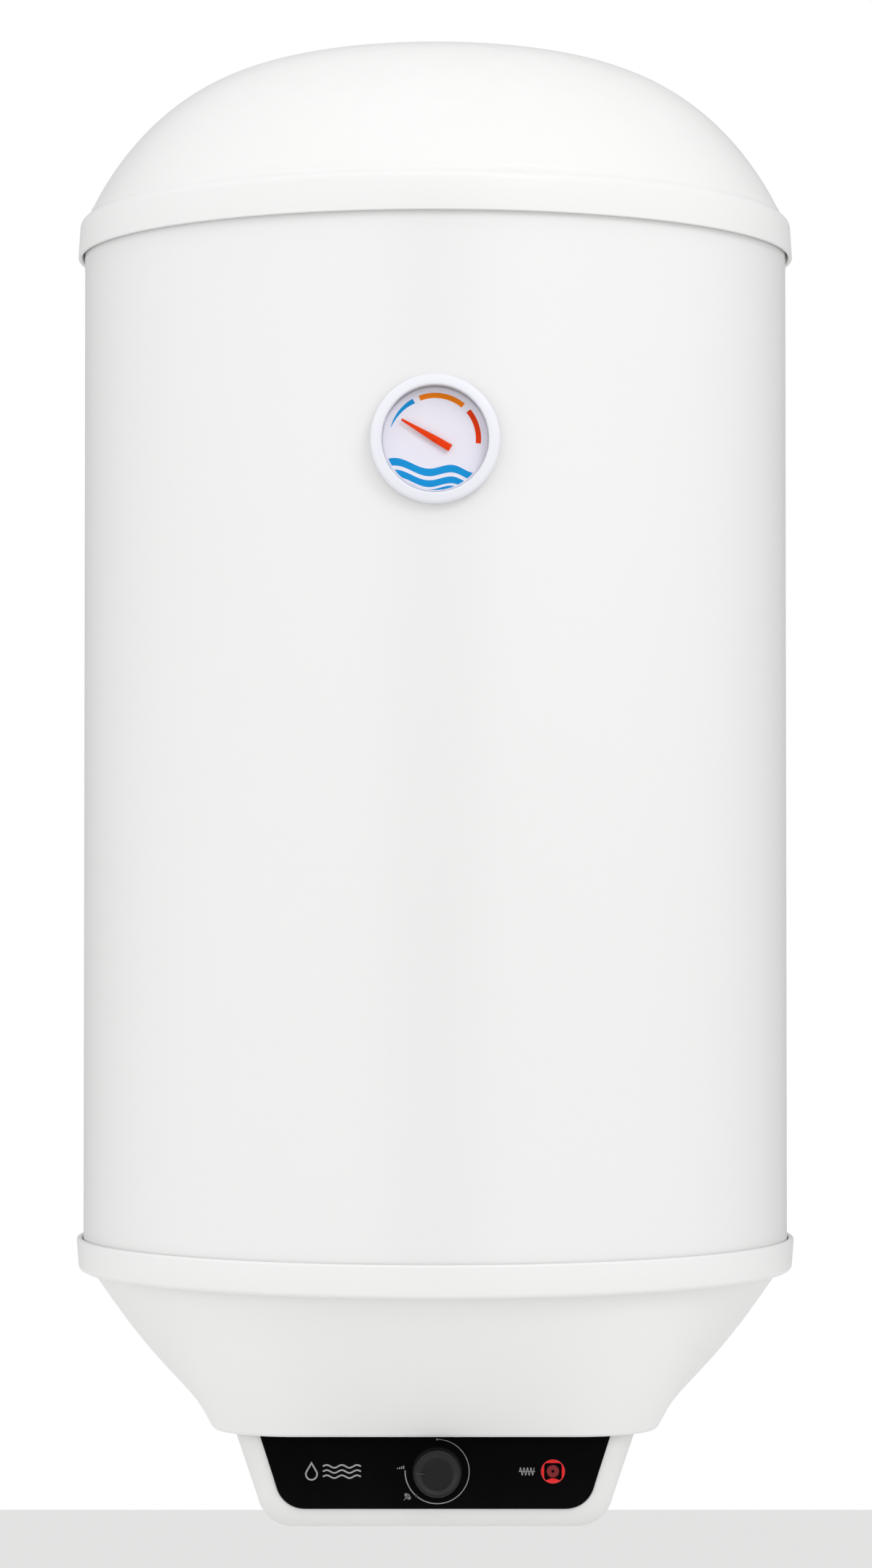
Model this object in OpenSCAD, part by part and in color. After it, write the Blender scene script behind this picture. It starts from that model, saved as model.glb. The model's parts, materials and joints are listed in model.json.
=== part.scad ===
// Wall-hung electric storage water heater with a round steel jacket, a domed top cap,
// a bowl-shaped bottom cap and a control box at the lower front.
// The origin is on the wall plane, midway between the two bracket holes. +Z is up, the wall is
// at y = 0 and the heater hangs on the -Y side of it, so its front faces -Y.

/* [Jacket] */
// Outer diameter of the sheet steel jacket
jacket_d = 450; // [375:1:540]
// Length of the jacket sheet between its cut edges
jacket_h = 660; // [550:1:792]
// Thickness of the jacket sheet
jacket_t = 0.6; // [0.5:0.1:1]
// Gap between the back of the jacket and the wall
wall_gap = 20; // [17:1:30]
// Thickness of the foam between tank and jacket
foam_t = 18.8; // [18:0.1:30]

/* [Caps] */
// Wall thickness of the plastic caps
cap_t = 2.5; // [2:0.1:3.5]
// Radial play between the jacket and a cap's skirt
skirt_play = 1.8; // [1.2:0.1:2.5]
// Height of the upright skirt band of a cap
skirt_h = 20; // [18:0.5:30]
// How far the jacket's edge goes into a skirt
skirt_grip = 17.5; // [12:0.5:18]
// Draft of the skirt's outer face, which is widest at its mouth
skirt_draft = 1.2; // [0.4:0.1:2]
// Rise of the dome above the top cap's shoulder
dome_h = 103.6; // [86:0.1:125]
// Height of the bowl below the bottom cap's shoulder
bowl_h = 88.3; // [74:0.1:106]
// Width of the bowl's bottom edge
bowl_w = 273; // [262:1:300]
// Depth of the bowl's bottom edge, front to back
bowl_d = 330; // [320:1:345]
// Corner radius of the bowl's bottom edge in plan
bowl_corner = 50; // [40:1:60]

/* [Control box] */
// Width of the control box where it leaves the bowl
box_w = 246; // [205:1:248]
// Height of the control box below the bowl's edge
box_h = 56; // [52:0.5:67]
// Depth of the control box, front to back
box_d = 226; // [190:1:232]
// Wall thickness of the control box
box_t = 2.5; // [2:0.1:3.5]
// Sideways lean of its side walls, per millimetre of height
box_lean = 0.28; // [0.1:0.01:0.35]
// Step from the bowl's front edge back to the control box
box_step = 9; // [9:0.5:14]
// Thickness of the glossy front panel
fascia_t = 2; // [1.5:0.1:3]
// Width of the box's white frame beside the front panel's top corners
frame_w = 16.2; // [16:0.05:30]
// Visible height of the front panel
fascia_h = 44.5; // [39:0.5:45.5]

/* [Knob and lamp] */
// Diameter of the thermostat knob
knob_d = 30; // [25:0.5:36]
// Height of the knob above the front panel
knob_h = 12; // [10:0.5:15]
// Gap between the knob and the front panel
knob_gap = 0.8; // [0.5:0.1:1.5]
// Diameter of the thermostat's shaft
shaft_d = 6; // [5:0.1:7]
// Diameter of the red lamp window
lamp_d = 14.4; // [12:0.1:17]
// Distance from the front panel's top corner in to the lamp
lamp_inset = 35.5; // [30:0.05:45]
// Travel of the safety cut-out's reset button
reset_travel = 1.5; // [1:0.1:2]

/* [Thermometer] */
// Outer diameter of the thermometer's bezel
gauge_d = 76.8; // [64:0.1:92]
// Width of the bezel ring
bezel_w = 6.5; // [5:0.1:8]
// Height of the bezel above the jacket
bezel_h = 8; // [7:0.1:10]
// Distance from the jacket's top edge down to the thermometer's centre
gauge_drop = 154; // [128:1:185]

/* [Tank and flange] */
// Wall thickness of the enamelled tank
tank_t = 2; // [1.5:0.1:3]
// Depth of each dished tank head
head_h = 80; // [67:1:84]
// Outer diameter of the service flange
flange_d = 132; // [126:1:150]
// Bolt circle of the service flange
flange_pcd = 114; // [112:1:118]
// Number of flange bolts
flange_bolts_n = 6; // [5:1:8]
// Height of the heating element above the flange
element_h = 290; // [240:1:350]
// Diameter of the heating element's tube
element_d = 8.5; // [7:0.1:10]
// Diameter of the magnesium anode
anode_d = 22; // [18:1:26]
// Length of the magnesium anode
anode_h = 260; // [215:1:312]

/* [Water pipes] */
// Distance between the cold and the hot pipe
pipe_pitch = 100; // [84:1:120]
// Outer diameter of the pipes' male thread
pipe_thread_d = 20.96; // [20.96:0.01:26.44]
// Length of that thread
pipe_thread_l = 14; // [12:0.5:18]
// Bore of the pipes
pipe_bore_d = 16; // [13:0.1:17]
// How far the pipes stand out below the bowl's edge
pipe_out = 44; // [37:0.5:50]

/* [Wall bracket] */
// Distance between the two bracket holes
bracket_pitch = 200; // [170:1:240]
// Diameter of the bracket holes
bracket_hole_d = 13; // [11:0.1:15]
// Thickness of the bracket's steel
bracket_t = 3; // [2.5:0.1:4]
// Height of the bracket plate
bracket_h = 56; // [48:1:66]
// Distance from the jacket's top edge down to the bracket holes
bracket_drop = 86.5; // [72:0.5:104]

/* [Hidden] */
$fn = 96;

fit_gap = 0.3;        // gap between fixed pieces that meet on curved faces
running_gap = 0.06;   // radial gap of a shaft in its bearing
screw_gap = 0.1;      // radial gap of a screw or bolt in its hole
skin = 0.01;          // thickness of the slabs that hull() joins
eps = 1;              // how far a cutter reaches past a face

// ---- shell ----
jacket_r = jacket_d / 2;
axis_y = -(wall_gap + jacket_r);
jacket_top = bracket_drop;
jacket_bottom = jacket_top - jacket_h;
skirt_in = jacket_r + skirt_play;
skirt_out = skirt_in + cap_t;
shoulder_r = 5.5;
seat_z = skirt_grip + 0.5;                 // height of the inner step that the jacket's edge meets
top_mouth_z = jacket_top - skirt_grip;
dome_r = jacket_r - 2.5;
dome_z = skirt_h + shoulder_r;             // from the skirt's mouth up to the dome's foot
dome_side_power = 3.65;                    // a higher power keeps the dome wide for longer
dome_crown_power = 1.13;
bottom_mouth_z = jacket_bottom + skirt_grip;
bowl_r = jacket_r - 5.5;
foot_r = 3.4;                              // rounding of the bottom ring's lower edge
bowl_z = max(skirt_h + 0.7, seat_z + cap_t); // from the skirt's mouth down to the bowl's top
bowl_straight = 0.75;                      // share of the bowl's flank that is a straight cone
bowl_power = 3.3;                          // how late the rest of the flank turns in
bowl_bottom_z = bottom_mouth_z - bowl_z - bowl_h;
seam_w = 12;
seam_t = 0.7;
seam_angle = 38;                           // the sheet's lock seam, to one side of the bracket

// ---- tank ----
tank_r = jacket_r - jacket_t - foam_t;
head_top_z = jacket_top + 0.5;
tank_cyl_h = jacket_h - 25;
head_bottom_z = head_top_z - tank_cyl_h;
tank_bottom_z = head_bottom_z - head_h;
collar_t = 14;
collar_z = tank_bottom_z - 6;              // underside of the tank's collar
gasket_t = 3;
flange_t = 5;
flange_z = collar_z - gasket_t - flange_t; // underside of the flange plate
flange_bore_r = 48;
bolt_d = 8;
leg_x = 12;
leg_y = 22;
pocket_x = 32;
pocket_d = 12;
pocket_bore_d = 10.4;
pocket_h = 210;
anode_x = -32;
bulb_d = 4.6;
bulb_h = 90;

// ---- control box ----
box_front = -(bowl_d / 2 - box_step);      // measured from the tank's axis
box_back = box_front + box_d;
box_bottom_z = bowl_bottom_z - box_h;
box_top_z = bowl_bottom_z + 2.2;           // its rim is tucked inside the bowl's edge
box_corner = 26;
box_round = 22;                            // rounding of the lower side edges
box_edge = 9;                              // how far the lower front and rear edges curve back
box_bulge = 1.5;                           // how far the side walls' lower end swells outwards
floor_half = box_w / 2 - box_lean * (box_top_z - box_bottom_z) + box_bulge - box_round;
panel_recess = 1.2;
fascia_w = box_w - 2 * frame_w;
panel_front = box_front - fascia_t + panel_recess;
fascia_bottom_z = bowl_bottom_z + 0.2 - fascia_h;
fascia_lean = 0.34;
fascia_corner = 18;
knob_x = 1.2;
control_z = bowl_bottom_z - 21.7;          // height of the knob's and the lamp's centres
lamp_x = fascia_w / 2 - lamp_inset;

// ---- thermostat ----
bushing_d = 10;
thermostat_w = 36;
thermostat_h = 30;
thermostat_depth = 32;
plate_t = 1.5;
plate_back = box_front + box_t + 7;        // back face of the steel plate behind the panel
shaft_inner = plate_back + 12;
cutout_x = 66;
cutout_y = box_front + 78;
cutout_z = bowl_bottom_z - 14;
button_d = 5;

// ---- terminals and gland, placed from the end of the box's flat floor ----
terminal_inset = 14.2;
terminal_x = terminal_inset - floor_half;
terminal_y = -75;
terminal_pitch = 6;
gland_inset = 16.2;
gland_x = gland_inset - floor_half;
gland_y = 8;
gland_thread_d = 16;
gland_bore_d = 8;
gland_out = 6;
cover_screw_x = -gland_x;

// ---- pipes ----
pipe_y = box_back + 36;
pipe_end_z = bowl_bottom_z - pipe_out;
pipe_d = pipe_thread_d + 0.34;
relief_l = 2.5;
pipe_in = 14;                              // how far a pipe reaches into the tank
collar_ring_d = pipe_d + 13;
collar_flange_d = pipe_d + 21;

// ---- thermometer ----
gauge_z = jacket_top - gauge_drop;
gauge_r = gauge_d / 2;
bezel_in = gauge_r - bezel_w;
case_r = bezel_in - 1.6;
case_t = 1.2;
case_back = -(tank_r + 1.6);
jacket_front = -jacket_r;
bezel_back = jacket_front - 0.2;
bezel_front = bezel_back - bezel_h;
glass_t = 1.4;
glass_front = bezel_front + 1.6;
dial_front = jacket_front + 1.4;
dial_t = 0.8;
needle_t = 0.5;
needle_y = dial_front - 2.6;
needle_rest = 149.6;                       // angle of the pointer, anticlockwise from three o'clock
needle_tip = 0.725 * bezel_in;
needle_tail = 0.33 * bezel_in;
needle_w = 4.4;
spindle_d = 1.6;

// ---- bracket ----
bracket_w = bracket_pitch + 44;
arm_x = 70;
buffer_x = 70;
buffer_d = 32;
buffer_z = bottom_mouth_z + 70;

// ---- wiring, as routes in the control box: x, y from the tank's axis, z from the bowl's edge ----
wire_d = 2.4;
capillary_d = 1.6;
spade_w = 6.2;
spade_t = 0.8;
wire_foot = box_t + 16.2 - box_h;           // height at which the wires enter the terminals
live_x = terminal_x + terminal_pitch;
earth_x = terminal_x - terminal_pitch;
route_thermostat_bulb = [[29.6, 0, 22], [29.6, 0, 12], [29, -6, 6], [26, -30, 3], [20, -60, 2],
    [12, -84, 0], [7, -98, -5], [6, -106, -14], [6, -114, -18]];
route_cutout_bulb = [[34.4, 0, 22], [34.4, 0, 12], [36, -8, 7], [44, -30, 6], [54, -52, 6],
    [62, -66, 5], [66, -75, 4], [66, -78, 0.5]];
routes_live = [
    [[live_x, -60, wire_foot], [live_x, -60, -28], [live_x + 8, -50, -26], [-40, -44, -22], [-10, -40, -18],
     [24, -38, -14], [56, -36, -10], [72, -42, -9.6], [76, -50, -9.6], [76, -60.9, -9.6]],
    [[56, -60.9, -9.6], [56, -52, -10], [48, -48, -18], [34, -60, -28], [22, -80, -31],
     [12.5, -94, -29.6], [11.2, -107.4, -29.3]],
    [[-8.8, -107.4, -29.3], [-9, -98, -29], [-14, -84, -22], [-20, -60, -10], [-16, -34, 0],
     [-12, -24, 2], [-12, -23.6, 7.4]],
    [[-12, -20.4, 7.4], [-12, -19, 1], [-13, 0, -1], [-12, 20, 1], [-12, 22, 7.4]],
    [[1.2, -107.4, -29.3], [1.2, -100, -30], [8, -92, -40], [26, -96, -44], [46, -108, -40],
     [lamp_x - 9.3, -116, -28], [lamp_x - 2, -121, -21.7], [lamp_x - 2, -129.4, -21.7]]];
routes_neutral = [
    [[terminal_x, -60, wire_foot], [terminal_x, -58, -28], [terminal_x + 4, -40, -18], [-46, -8, -10],
     [-20, 24, -8], [0, 32, -6], [11, 27, -2], [12, 23.6, 2], [12, 23.6, 7.4]],
    [[12, 20.4, 7.4], [12, 18, 1.5], [13, 0, -0.5], [12, -18, 1.5], [12, -20.4, 7.4]],
    [[12, -23.6, 7.4], [12, -24, 0], [14, -30, -18], [22, -46, -38], [40, -66, -44], [56, -90, -42],
     [lamp_x - 3.3, -108, -32], [lamp_x + 2, -120, -22], [lamp_x + 2, -129.4, -21.7]]];
route_earth = [[earth_x, -60, wire_foot], [earth_x, -56, -27], [earth_x + 2, -36, -14], [-70, -12, -4],
    [-58, 4, 4], [-51, 8, 8], [-50, 8, 13]];

// ================= shared shapes =================
function arc(cx, cy, r, from, to, n) =
    [for (i = [0 : n]) let (a = from + (to - from) * i / n) [cx + r * cos(a), cy + r * sin(a)]];

// Distance from the centre to the edge of a rounded rectangle, in the direction a
function round_rect_reach(a, half_w, half_d, r) =
    let (c = abs(cos(a)), s = abs(sin(a)), cw = half_w - r, cd = half_d - r)
    s * half_w <= c * cd ? half_w / c
    : c * half_d <= s * cw ? half_d / s
    : let (m = c * cw + s * cd) m + sqrt(m * m - cw * cw - cd * cd + r * r);

// Closed solid from equal rings of points, the last ring joined to the first
module ring_loop(rings) {
    n = len(rings[0]);
    k = len(rings);
    polyhedron(
        points = [for (ring = rings) each ring],
        faces = [for (i = [0 : k - 1], j = [0 : n - 1], half = [0, 1])
            let (a = i * n + j, b = i * n + (j + 1) % n,
                 c = (i + 1) % k * n + j, d = (i + 1) % k * n + (j + 1) % n)
            half == 0 ? [a, b, c] : [b, d, c]]);
}

// Round tube swept along a list of points, closed at both ends
function unit(v) = v / norm(v);
function along(p, i) = unit(p[min(i + 1, len(p) - 1)] - p[max(i - 1, 0)]);
function carried(n, t) = unit(n - (n * t) * t);
function normals(p, i = 0, n = undef) =
    let (t = along(p, i), start = abs(t[0]) < 0.9 ? [1, 0, 0] : [0, 1, 0],
         now = carried(is_undef(n) ? start : n, t))
    i == len(p) - 1 ? [now] : [now, each normals(p, i + 1, now)];
function midpoints(p) =
    [for (i = [0 : len(p) - 2]) each [p[i], (p[i] + p[i + 1]) / 2], p[len(p) - 1]];
function eased(p) =
    [for (i = [0 : len(p) - 1])
        i == 0 || i == len(p) - 1 ? p[i] : (p[i - 1] + 2 * p[i] + p[i + 1]) / 4];
function smooth_route(p) = eased(eased(midpoints(p)));

module swept_tube(route, d, sides = 8) {
    p = smooth_route(route);
    k = len(p);
    nn = normals(p);
    polyhedron(
        points = [for (i = [0 : k - 1])
            let (t = along(p, i), u = nn[i], v = cross(t, u))
            for (j = [0 : sides - 1])
                let (a = 360 * j / sides) p[i] + d / 2 * (cos(a) * u + sin(a) * v)],
        faces = [
            [for (j = [sides - 1 : -1 : 0]) j],
            [for (j = [0 : sides - 1]) (k - 1) * sides + j],
            for (i = [0 : k - 2], j = [0 : sides - 1], half = [0, 1])
                let (a = i * sides + j, b = i * sides + (j + 1) % sides,
                     c = a + sides, e = b + sides)
                half == 0 ? [a, b, c] : [b, e, c]]);
}

module on_axis() { translate([0, axis_y, 0]) children(); }
// Turns +Z of its children to face the room, with the far end at -y
module facing_front() { rotate([90, 0, 0]) children(); }
module tube(r_out, r_in, h) {
    difference() {
        cylinder(r = r_out, h = h);
        translate([0, 0, -eps]) cylinder(r = r_in, h = h + 2 * eps);
    }
}
module hex_head(across, h) { cylinder(d = across / cos(30), h = h, $fn = 6); }
module pan_screw(head_d, head_h, shank_d, length) {
    cross_w = 0.8;
    translate([0, 0, -length]) cylinder(d = shank_d, h = length);
    difference() {
        cylinder(d1 = head_d, d2 = head_d * 0.8, h = head_h);
        translate([-head_d * 0.3, -cross_w / 2, head_h * 0.5]) cube([head_d * 0.6, cross_w, head_h]);
        translate([-cross_w / 2, -head_d * 0.3, head_h * 0.5]) cube([cross_w, head_d * 0.6, head_h]);
    }
}

// ================= shell =================
module gauge_hole(r) {
    translate([0, 0, gauge_z]) facing_front() cylinder(r = r, h = jacket_r + 20);
}

module bracket_slots(extra) {
    for (side = [-1, 1])
        translate([side * arm_x - bracket_t / 2 - extra, 0, -bracket_h / 2 - extra])
            cube([bracket_t + 2 * extra, jacket_r + 20, bracket_h + 2 * extra]);
}

module outer_jacket() {
    color("whitesmoke") on_axis() difference() {
        union() {
            translate([0, 0, jacket_bottom]) cylinder(r = jacket_r, h = jacket_h);
            rotate([0, 0, 90 - seam_angle])
                translate([jacket_r - 1, -seam_w / 2, bottom_mouth_z + 2])
                    cube([1 + seam_t, seam_w, top_mouth_z - bottom_mouth_z - 4]);
        }
        translate([0, 0, jacket_bottom - eps])
            cylinder(r = jacket_r - jacket_t, h = jacket_h + 2 * eps);
        gauge_hole(case_r + fit_gap);
        bracket_slots(1);
        for (z = [top_mouth_z + cap_screw_z, bottom_mouth_z - cap_screw_z])
            cap_screw_places(z) cap_screw_hole();
    }
}

function dome_curve(r, h, n) =
    [for (i = [0 : n]) let (t = 90 * i / n)
        [r * pow(max(cos(t), 0), 2 / dome_side_power), h * pow(sin(t), 2 / dome_crown_power)]];
function reversed(list) = [for (i = [len(list) - 1 : -1 : 0]) list[i]];
function lifted(points, z) = [for (p = points) [p[0], p[1] + z]];

module top_cap() {
    outer = dome_curve(dome_r, dome_h, 36);
    inner = dome_curve(dome_r - cap_t, dome_h - cap_t, 36);
    root = skirt_out - skirt_draft;
    color("white") on_axis() difference() {
        translate([0, 0, top_mouth_z]) rotate_extrude() polygon(concat(
            [[skirt_in, 0], [skirt_out, 0]],
            arc(root - shoulder_r, skirt_h - 1, shoulder_r, 0, 70, 6),
            lifted(outer, dome_z),
            reversed(lifted(inner, dome_z)),
            [[dome_r - cap_t, seat_z], [skirt_in, seat_z]]));
        cap_screw_places(top_mouth_z + cap_screw_z) cap_screw_hole();
    }
}

// One horizontal ring of the bottom cap: share 0 is the round skirt, share 1 the bowl's edge
bowl_columns = 72;
function bowl_ring(share, r, half_w, half_d, corner, z) =
    [for (j = [0 : bowl_columns - 1]) let (a = 360 * j / bowl_columns,
        reach = (1 - share) * r + share * round_rect_reach(a, half_w, half_d, corner))
        [reach * cos(a), reach * sin(a), z]];
function round_ring(r, z) = bowl_ring(0, r, bowl_w / 2, bowl_d / 2, bowl_corner, z);
bowl_steps = 5;
lip_half_w = box_w / 2 + 3;
lip_half_d = bowl_d / 2 - cap_t - 0.6;
lip_corner = (box_corner + bowl_corner) / 2;
bowl_wall = 1.3 * cap_t;                   // thickness measured level, across the sloping wall

function bowl_share(t) = bowl_straight * t + (1 - bowl_straight) * pow(t, bowl_power);

module bottom_cap() {
    root = skirt_out - skirt_draft;
    edge = -bowl_z - bowl_h;
    shoulder = arc(root - foot_r, foot_r + 0.1 - bowl_z, foot_r, 0, -80, 4);
    outer_bowl = [for (i = [0 : bowl_steps]) let (t = i / bowl_steps)
        bowl_ring(bowl_share(t), bowl_r, bowl_w / 2, bowl_d / 2, bowl_corner,
            -bowl_z - t * bowl_h)];
    inner_bowl = [for (i = [bowl_steps : -1 : 0]) let (t = i / bowl_steps)
        bowl_ring(bowl_share(t), bowl_r - bowl_wall, bowl_w / 2 - bowl_wall,
            bowl_d / 2 - cap_t - 0.3, bowl_corner - cap_t,
            -bowl_z - t * bowl_h + (i == bowl_steps ? cap_t : 0))];
    color("white") on_axis() difference() {
        translate([0, 0, bottom_mouth_z]) ring_loop([
            round_ring(skirt_in, 0),
            round_ring(skirt_out, 0),
            for (p = shoulder) round_ring(p[0], p[1]),
            each outer_bowl,
            bowl_ring(1, 0, lip_half_w, lip_half_d, lip_corner, edge),
            bowl_ring(1, 0, lip_half_w, lip_half_d, lip_corner, edge + cap_t),
            each inner_bowl,
            round_ring(bowl_r - bowl_wall, -seat_z),
            round_ring(skirt_in, -seat_z)]);
        cap_screw_places(bottom_mouth_z - cap_screw_z) cap_screw_hole();
    }
}

// Closes the bowl behind the control box and holds the pipes' collars
module pipe_plate() {
    half_w = bowl_w / 2 - bowl_wall - 1.6;
    half_d = bowl_d / 2 - cap_t - 1.9;
    front = box_back + 1;
    color("white") on_axis() translate([0, 0, bowl_bottom_z + cap_t + 0.1]) difference() {
        linear_extrude(cap_t) difference() {
            polygon([for (j = [0 : bowl_columns - 1]) let (a = 360 * j / bowl_columns)
                round_rect_reach(a, half_w, half_d, bowl_corner - 4) * [cos(a), sin(a)]]);
            translate([-bowl_w, -bowl_d * 2 + front]) square([2 * bowl_w, bowl_d * 2]);
        }
        for (side = [-1, 1])
            translate([side * pipe_pitch / 2, pipe_y, -eps])
                cylinder(d = collar_ring_d + 2 * fit_gap, h = cap_t + 2 * eps);
        pipe_plate_screws() translate([0, 0, -2 * eps]) cylinder(d = 4.4, h = cap_t + 4 * eps);
    }
}
module pipe_plate_screws() {
    for (side = [-1, 1]) translate([side * (bowl_w / 2 - 30), box_back + 12, 0]) children();
}

// ================= control box =================
module box_shape(inset, top, bottom) {
    half = box_w / 2 - inset;
    corner = box_corner - inset;
    round_r = box_round - inset;
    edge = box_edge - inset;
    low_half = half - box_lean * (top - bottom) + box_bulge;
    for (side = [-1, 1], end = [box_front + inset + corner, box_back - inset - corner])
        translate([side * (half - corner), end, top - skin])
            cylinder(r = corner, h = skin, $fn = 32);
    for (side = [-1, 1], end = [box_front + inset + edge, box_back - inset - edge])
        translate([side * (low_half - round_r), end, bottom + round_r])
            scale([1, edge / round_r, 1]) rotate_extrude($fn = 32) intersection() {
                circle(r = round_r, $fn = 32);
                translate([0, -round_r]) square(round_r);
            }
}

module service_cover() {
    hole_r = bushing_d / 2 + 1;
    color("white") at_knob() plate_post_places()
        translate([0, 0, 6 + plate_t + 0.1])
            tube(3.5, 1.6, plate_back - plate_t - box_front - box_t - 0.1);
    color("white") on_axis() difference() {
        hull() box_shape(0, box_top_z, box_bottom_z);
        hull() box_shape(box_t, box_top_z + eps, box_bottom_z + box_t);
        translate([0, box_front + panel_recess, 0]) facing_front()
            linear_extrude(panel_recess + eps) polygon(fascia_outline(fit_gap / 2));
        translate([knob_x, box_front + box_t + eps, control_z]) facing_front()
            cylinder(r = hole_r, h = box_t + 2 * eps);
        translate([lamp_x, box_front + box_t + eps, control_z]) facing_front()
            cylinder(d = lamp_d - 1.6, h = box_t + 2 * eps);
        translate([gland_x, gland_y, box_bottom_z - eps])
            cylinder(d = gland_thread_d + 2 * fit_gap, h = box_t + 2 * eps);
        cover_screw_places() translate([0, 0, -box_t - eps])
            cylinder(d = 4.4, h = box_t + 2 * eps);
    }
}

// Outline of the front panel in X and Z: a wide top, leaning sides and rounded lower corners
function fascia_outline(grow) =
    let (top = box_top_z - 0.4, half = fascia_w / 2 + grow, bottom = fascia_bottom_z - grow,
         lean_a = atan(fascia_lean), r = fascia_corner,
         side_x = half - fascia_lean * (bowl_bottom_z + 0.2 - bottom - r * (1 - sin(lean_a))),
         cx = side_x - r * cos(lean_a),
         right = arc(cx, bottom + r, r, -lean_a, -90, 7))
    concat([[half, top]], right, [for (p = reversed(right)) [-p[0], p[1]]], [[-half, top]]);

module front_panel() {
    color("black") on_axis() difference() {
        translate([0, box_front + panel_recess, 0]) facing_front()
            linear_extrude(fascia_t) polygon(fascia_outline(0));
        translate([knob_x, box_front + 5, control_z]) facing_front()
            cylinder(d = bushing_d + 1, h = 10);
        translate([lamp_x, box_front + 5, control_z]) facing_front()
            cylinder(d = lamp_d + 0.1, h = 10);
    }
}

module at_knob() { on_axis() translate([knob_x, 0, control_z]) children(); }

knob_foot = panel_front - knob_gap;
shaft_end = knob_foot - knob_h + 3.5;      // front end of the shaft, inside the knob
shaft_flat = shaft_d / 2 - 1;              // from the shaft's axis to its flat
module thermostat_knob() {
    r = knob_d / 2;
    face_r = r - 0.9;                      // radius at the rim of the face
    edge_r = 0.8;
    dish_w = 4;                            // width of the sloping ring inside the rim
    dish_h = 1.1;
    rib_w = 0.9;
    rib_l = 6.2;
    wall = 2;
    bore_h = knob_h - 3;
    color([0.08, 0.08, 0.08]) at_knob() translate([0, knob_foot, 0]) facing_front() {
        difference() {
            rotate_extrude() polygon(concat(
                [[0, 0], [r, 0], [r, 1.2]],
                arc(face_r - edge_r, knob_h - edge_r, edge_r, 0, 90, 4),
                [[face_r - edge_r - dish_w, knob_h - dish_h], [0, knob_h - dish_h]]));
            translate([0, 0, -eps]) cylinder(r = r - wall, h = eps + 3);
            difference() {
                translate([0, 0, -eps]) cylinder(d = shaft_d + 2 * running_gap, h = bore_h + eps);
                translate([shaft_flat + running_gap, -shaft_d, 3]) cube([shaft_d, 2 * shaft_d, knob_h]);
            }
        }
        translate([edge_r - face_r, -rib_w / 2, knob_h - 2 * dish_h]) cube([rib_l, rib_w, 2 * dish_h]);
    }
}

module thermostat_shaft() {
    color("silver") at_knob() difference() {
        translate([0, shaft_inner, 0]) facing_front()
            cylinder(d = shaft_d, h = shaft_inner - shaft_end);
        translate([shaft_flat, shaft_end - eps, -shaft_d])
            cube([shaft_d, knob_foot - 2.5 - shaft_end + eps, 2 * shaft_d]);
    }
}

module thermostat_body() {
    color("ivory") at_knob() difference() {
        union() {
            translate([-thermostat_w / 2, plate_back, -thermostat_h / 2])
                cube([thermostat_w, thermostat_depth, thermostat_h]);
            translate([0, plate_back, 0]) facing_front()
                cylinder(d = bushing_d, h = plate_back - box_front - 0.6);
        }
        translate([0, shaft_inner + 1, 0]) facing_front()
            cylinder(d = shaft_d + 2 * running_gap, h = 40);
        thermostat_screw_places() cylinder(d = 3 + 2 * screw_gap, h = 7);
    }
    color("silver") at_knob() for (x = [-10, 0, 10])
        translate([x - spade_w / 2, plate_back + thermostat_depth, -8]) cube([spade_w, 7, spade_t]);
}
module thermostat_screw_places() {
    for (side = [-1, 1]) translate([side * 14, plate_back + 6, 0]) facing_front() children();
}

module thermostat_plate() {
    color("silver") at_knob() difference() {
        translate([-33, plate_back - plate_t, -15]) cube([66, plate_t, 30]);
        translate([0, plate_back + 1, 0]) facing_front()
            cylinder(d = bushing_d + 2 * fit_gap, h = 5);
        thermostat_screw_places() cylinder(d = 3 + 2 * screw_gap, h = 20);
        plate_post_places() cylinder(d = 3 + 2 * screw_gap, h = 20);
    }
}
module plate_post_places() {
    for (side = [-1, 1]) translate([side * 28, plate_back + 6, 0]) facing_front() children();
}

module thermostat_screws() {
    color("silver") at_knob() thermostat_screw_places()
        translate([0, 0, 6 + plate_t]) pan_screw(5.2, 1.8, 3, 6);
    color("silver") at_knob() plate_post_places()
        translate([0, 0, 6]) rotate([180, 0, 0]) pan_screw(5.2, 1.8, 3, 6);
}

module swept_in_box(route, d) {
    color("peru") on_axis() translate([0, 0, bowl_bottom_z]) swept_tube(route, d);
}

module thermostat_capillary() {
    swept_in_box(route_thermostat_bulb, capillary_d);
}
module cutout_capillary() {
    swept_in_box(route_cutout_bulb, capillary_d);
}
module bulb(x) {
    color("peru") on_axis() translate([x, 0, bowl_bottom_z + 22]) cylinder(d = bulb_d, h = bulb_h);
}
module thermostat_bulb() { bulb(pocket_x - 2.4); }
module cutout_bulb() { bulb(pocket_x + 2.4); }

module at_cutout() { on_axis() translate([cutout_x, cutout_y, cutout_z]) children(); }
module safety_cutout() {
    color("ivory") at_cutout() difference() {
        union() {
            translate([-15, -11, -8]) cube([30, 22, 22]);
            translate([0, 0, -12]) cylinder(d = 10, h = 5);
        }
        translate([0, 0, -13]) cylinder(d = button_d + 2 * running_gap, h = 9);
    }
    color("silver") at_cutout() for (x = [-10, 10])
        translate([x - spade_w / 2, 11, 4]) cube([spade_w, 6, spade_t]);
}
module reset_button() {
    color("red") at_cutout() translate([0, 0, -14.5])
        cylinder(d = button_d, h = 10.4 - reset_travel);
}

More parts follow.
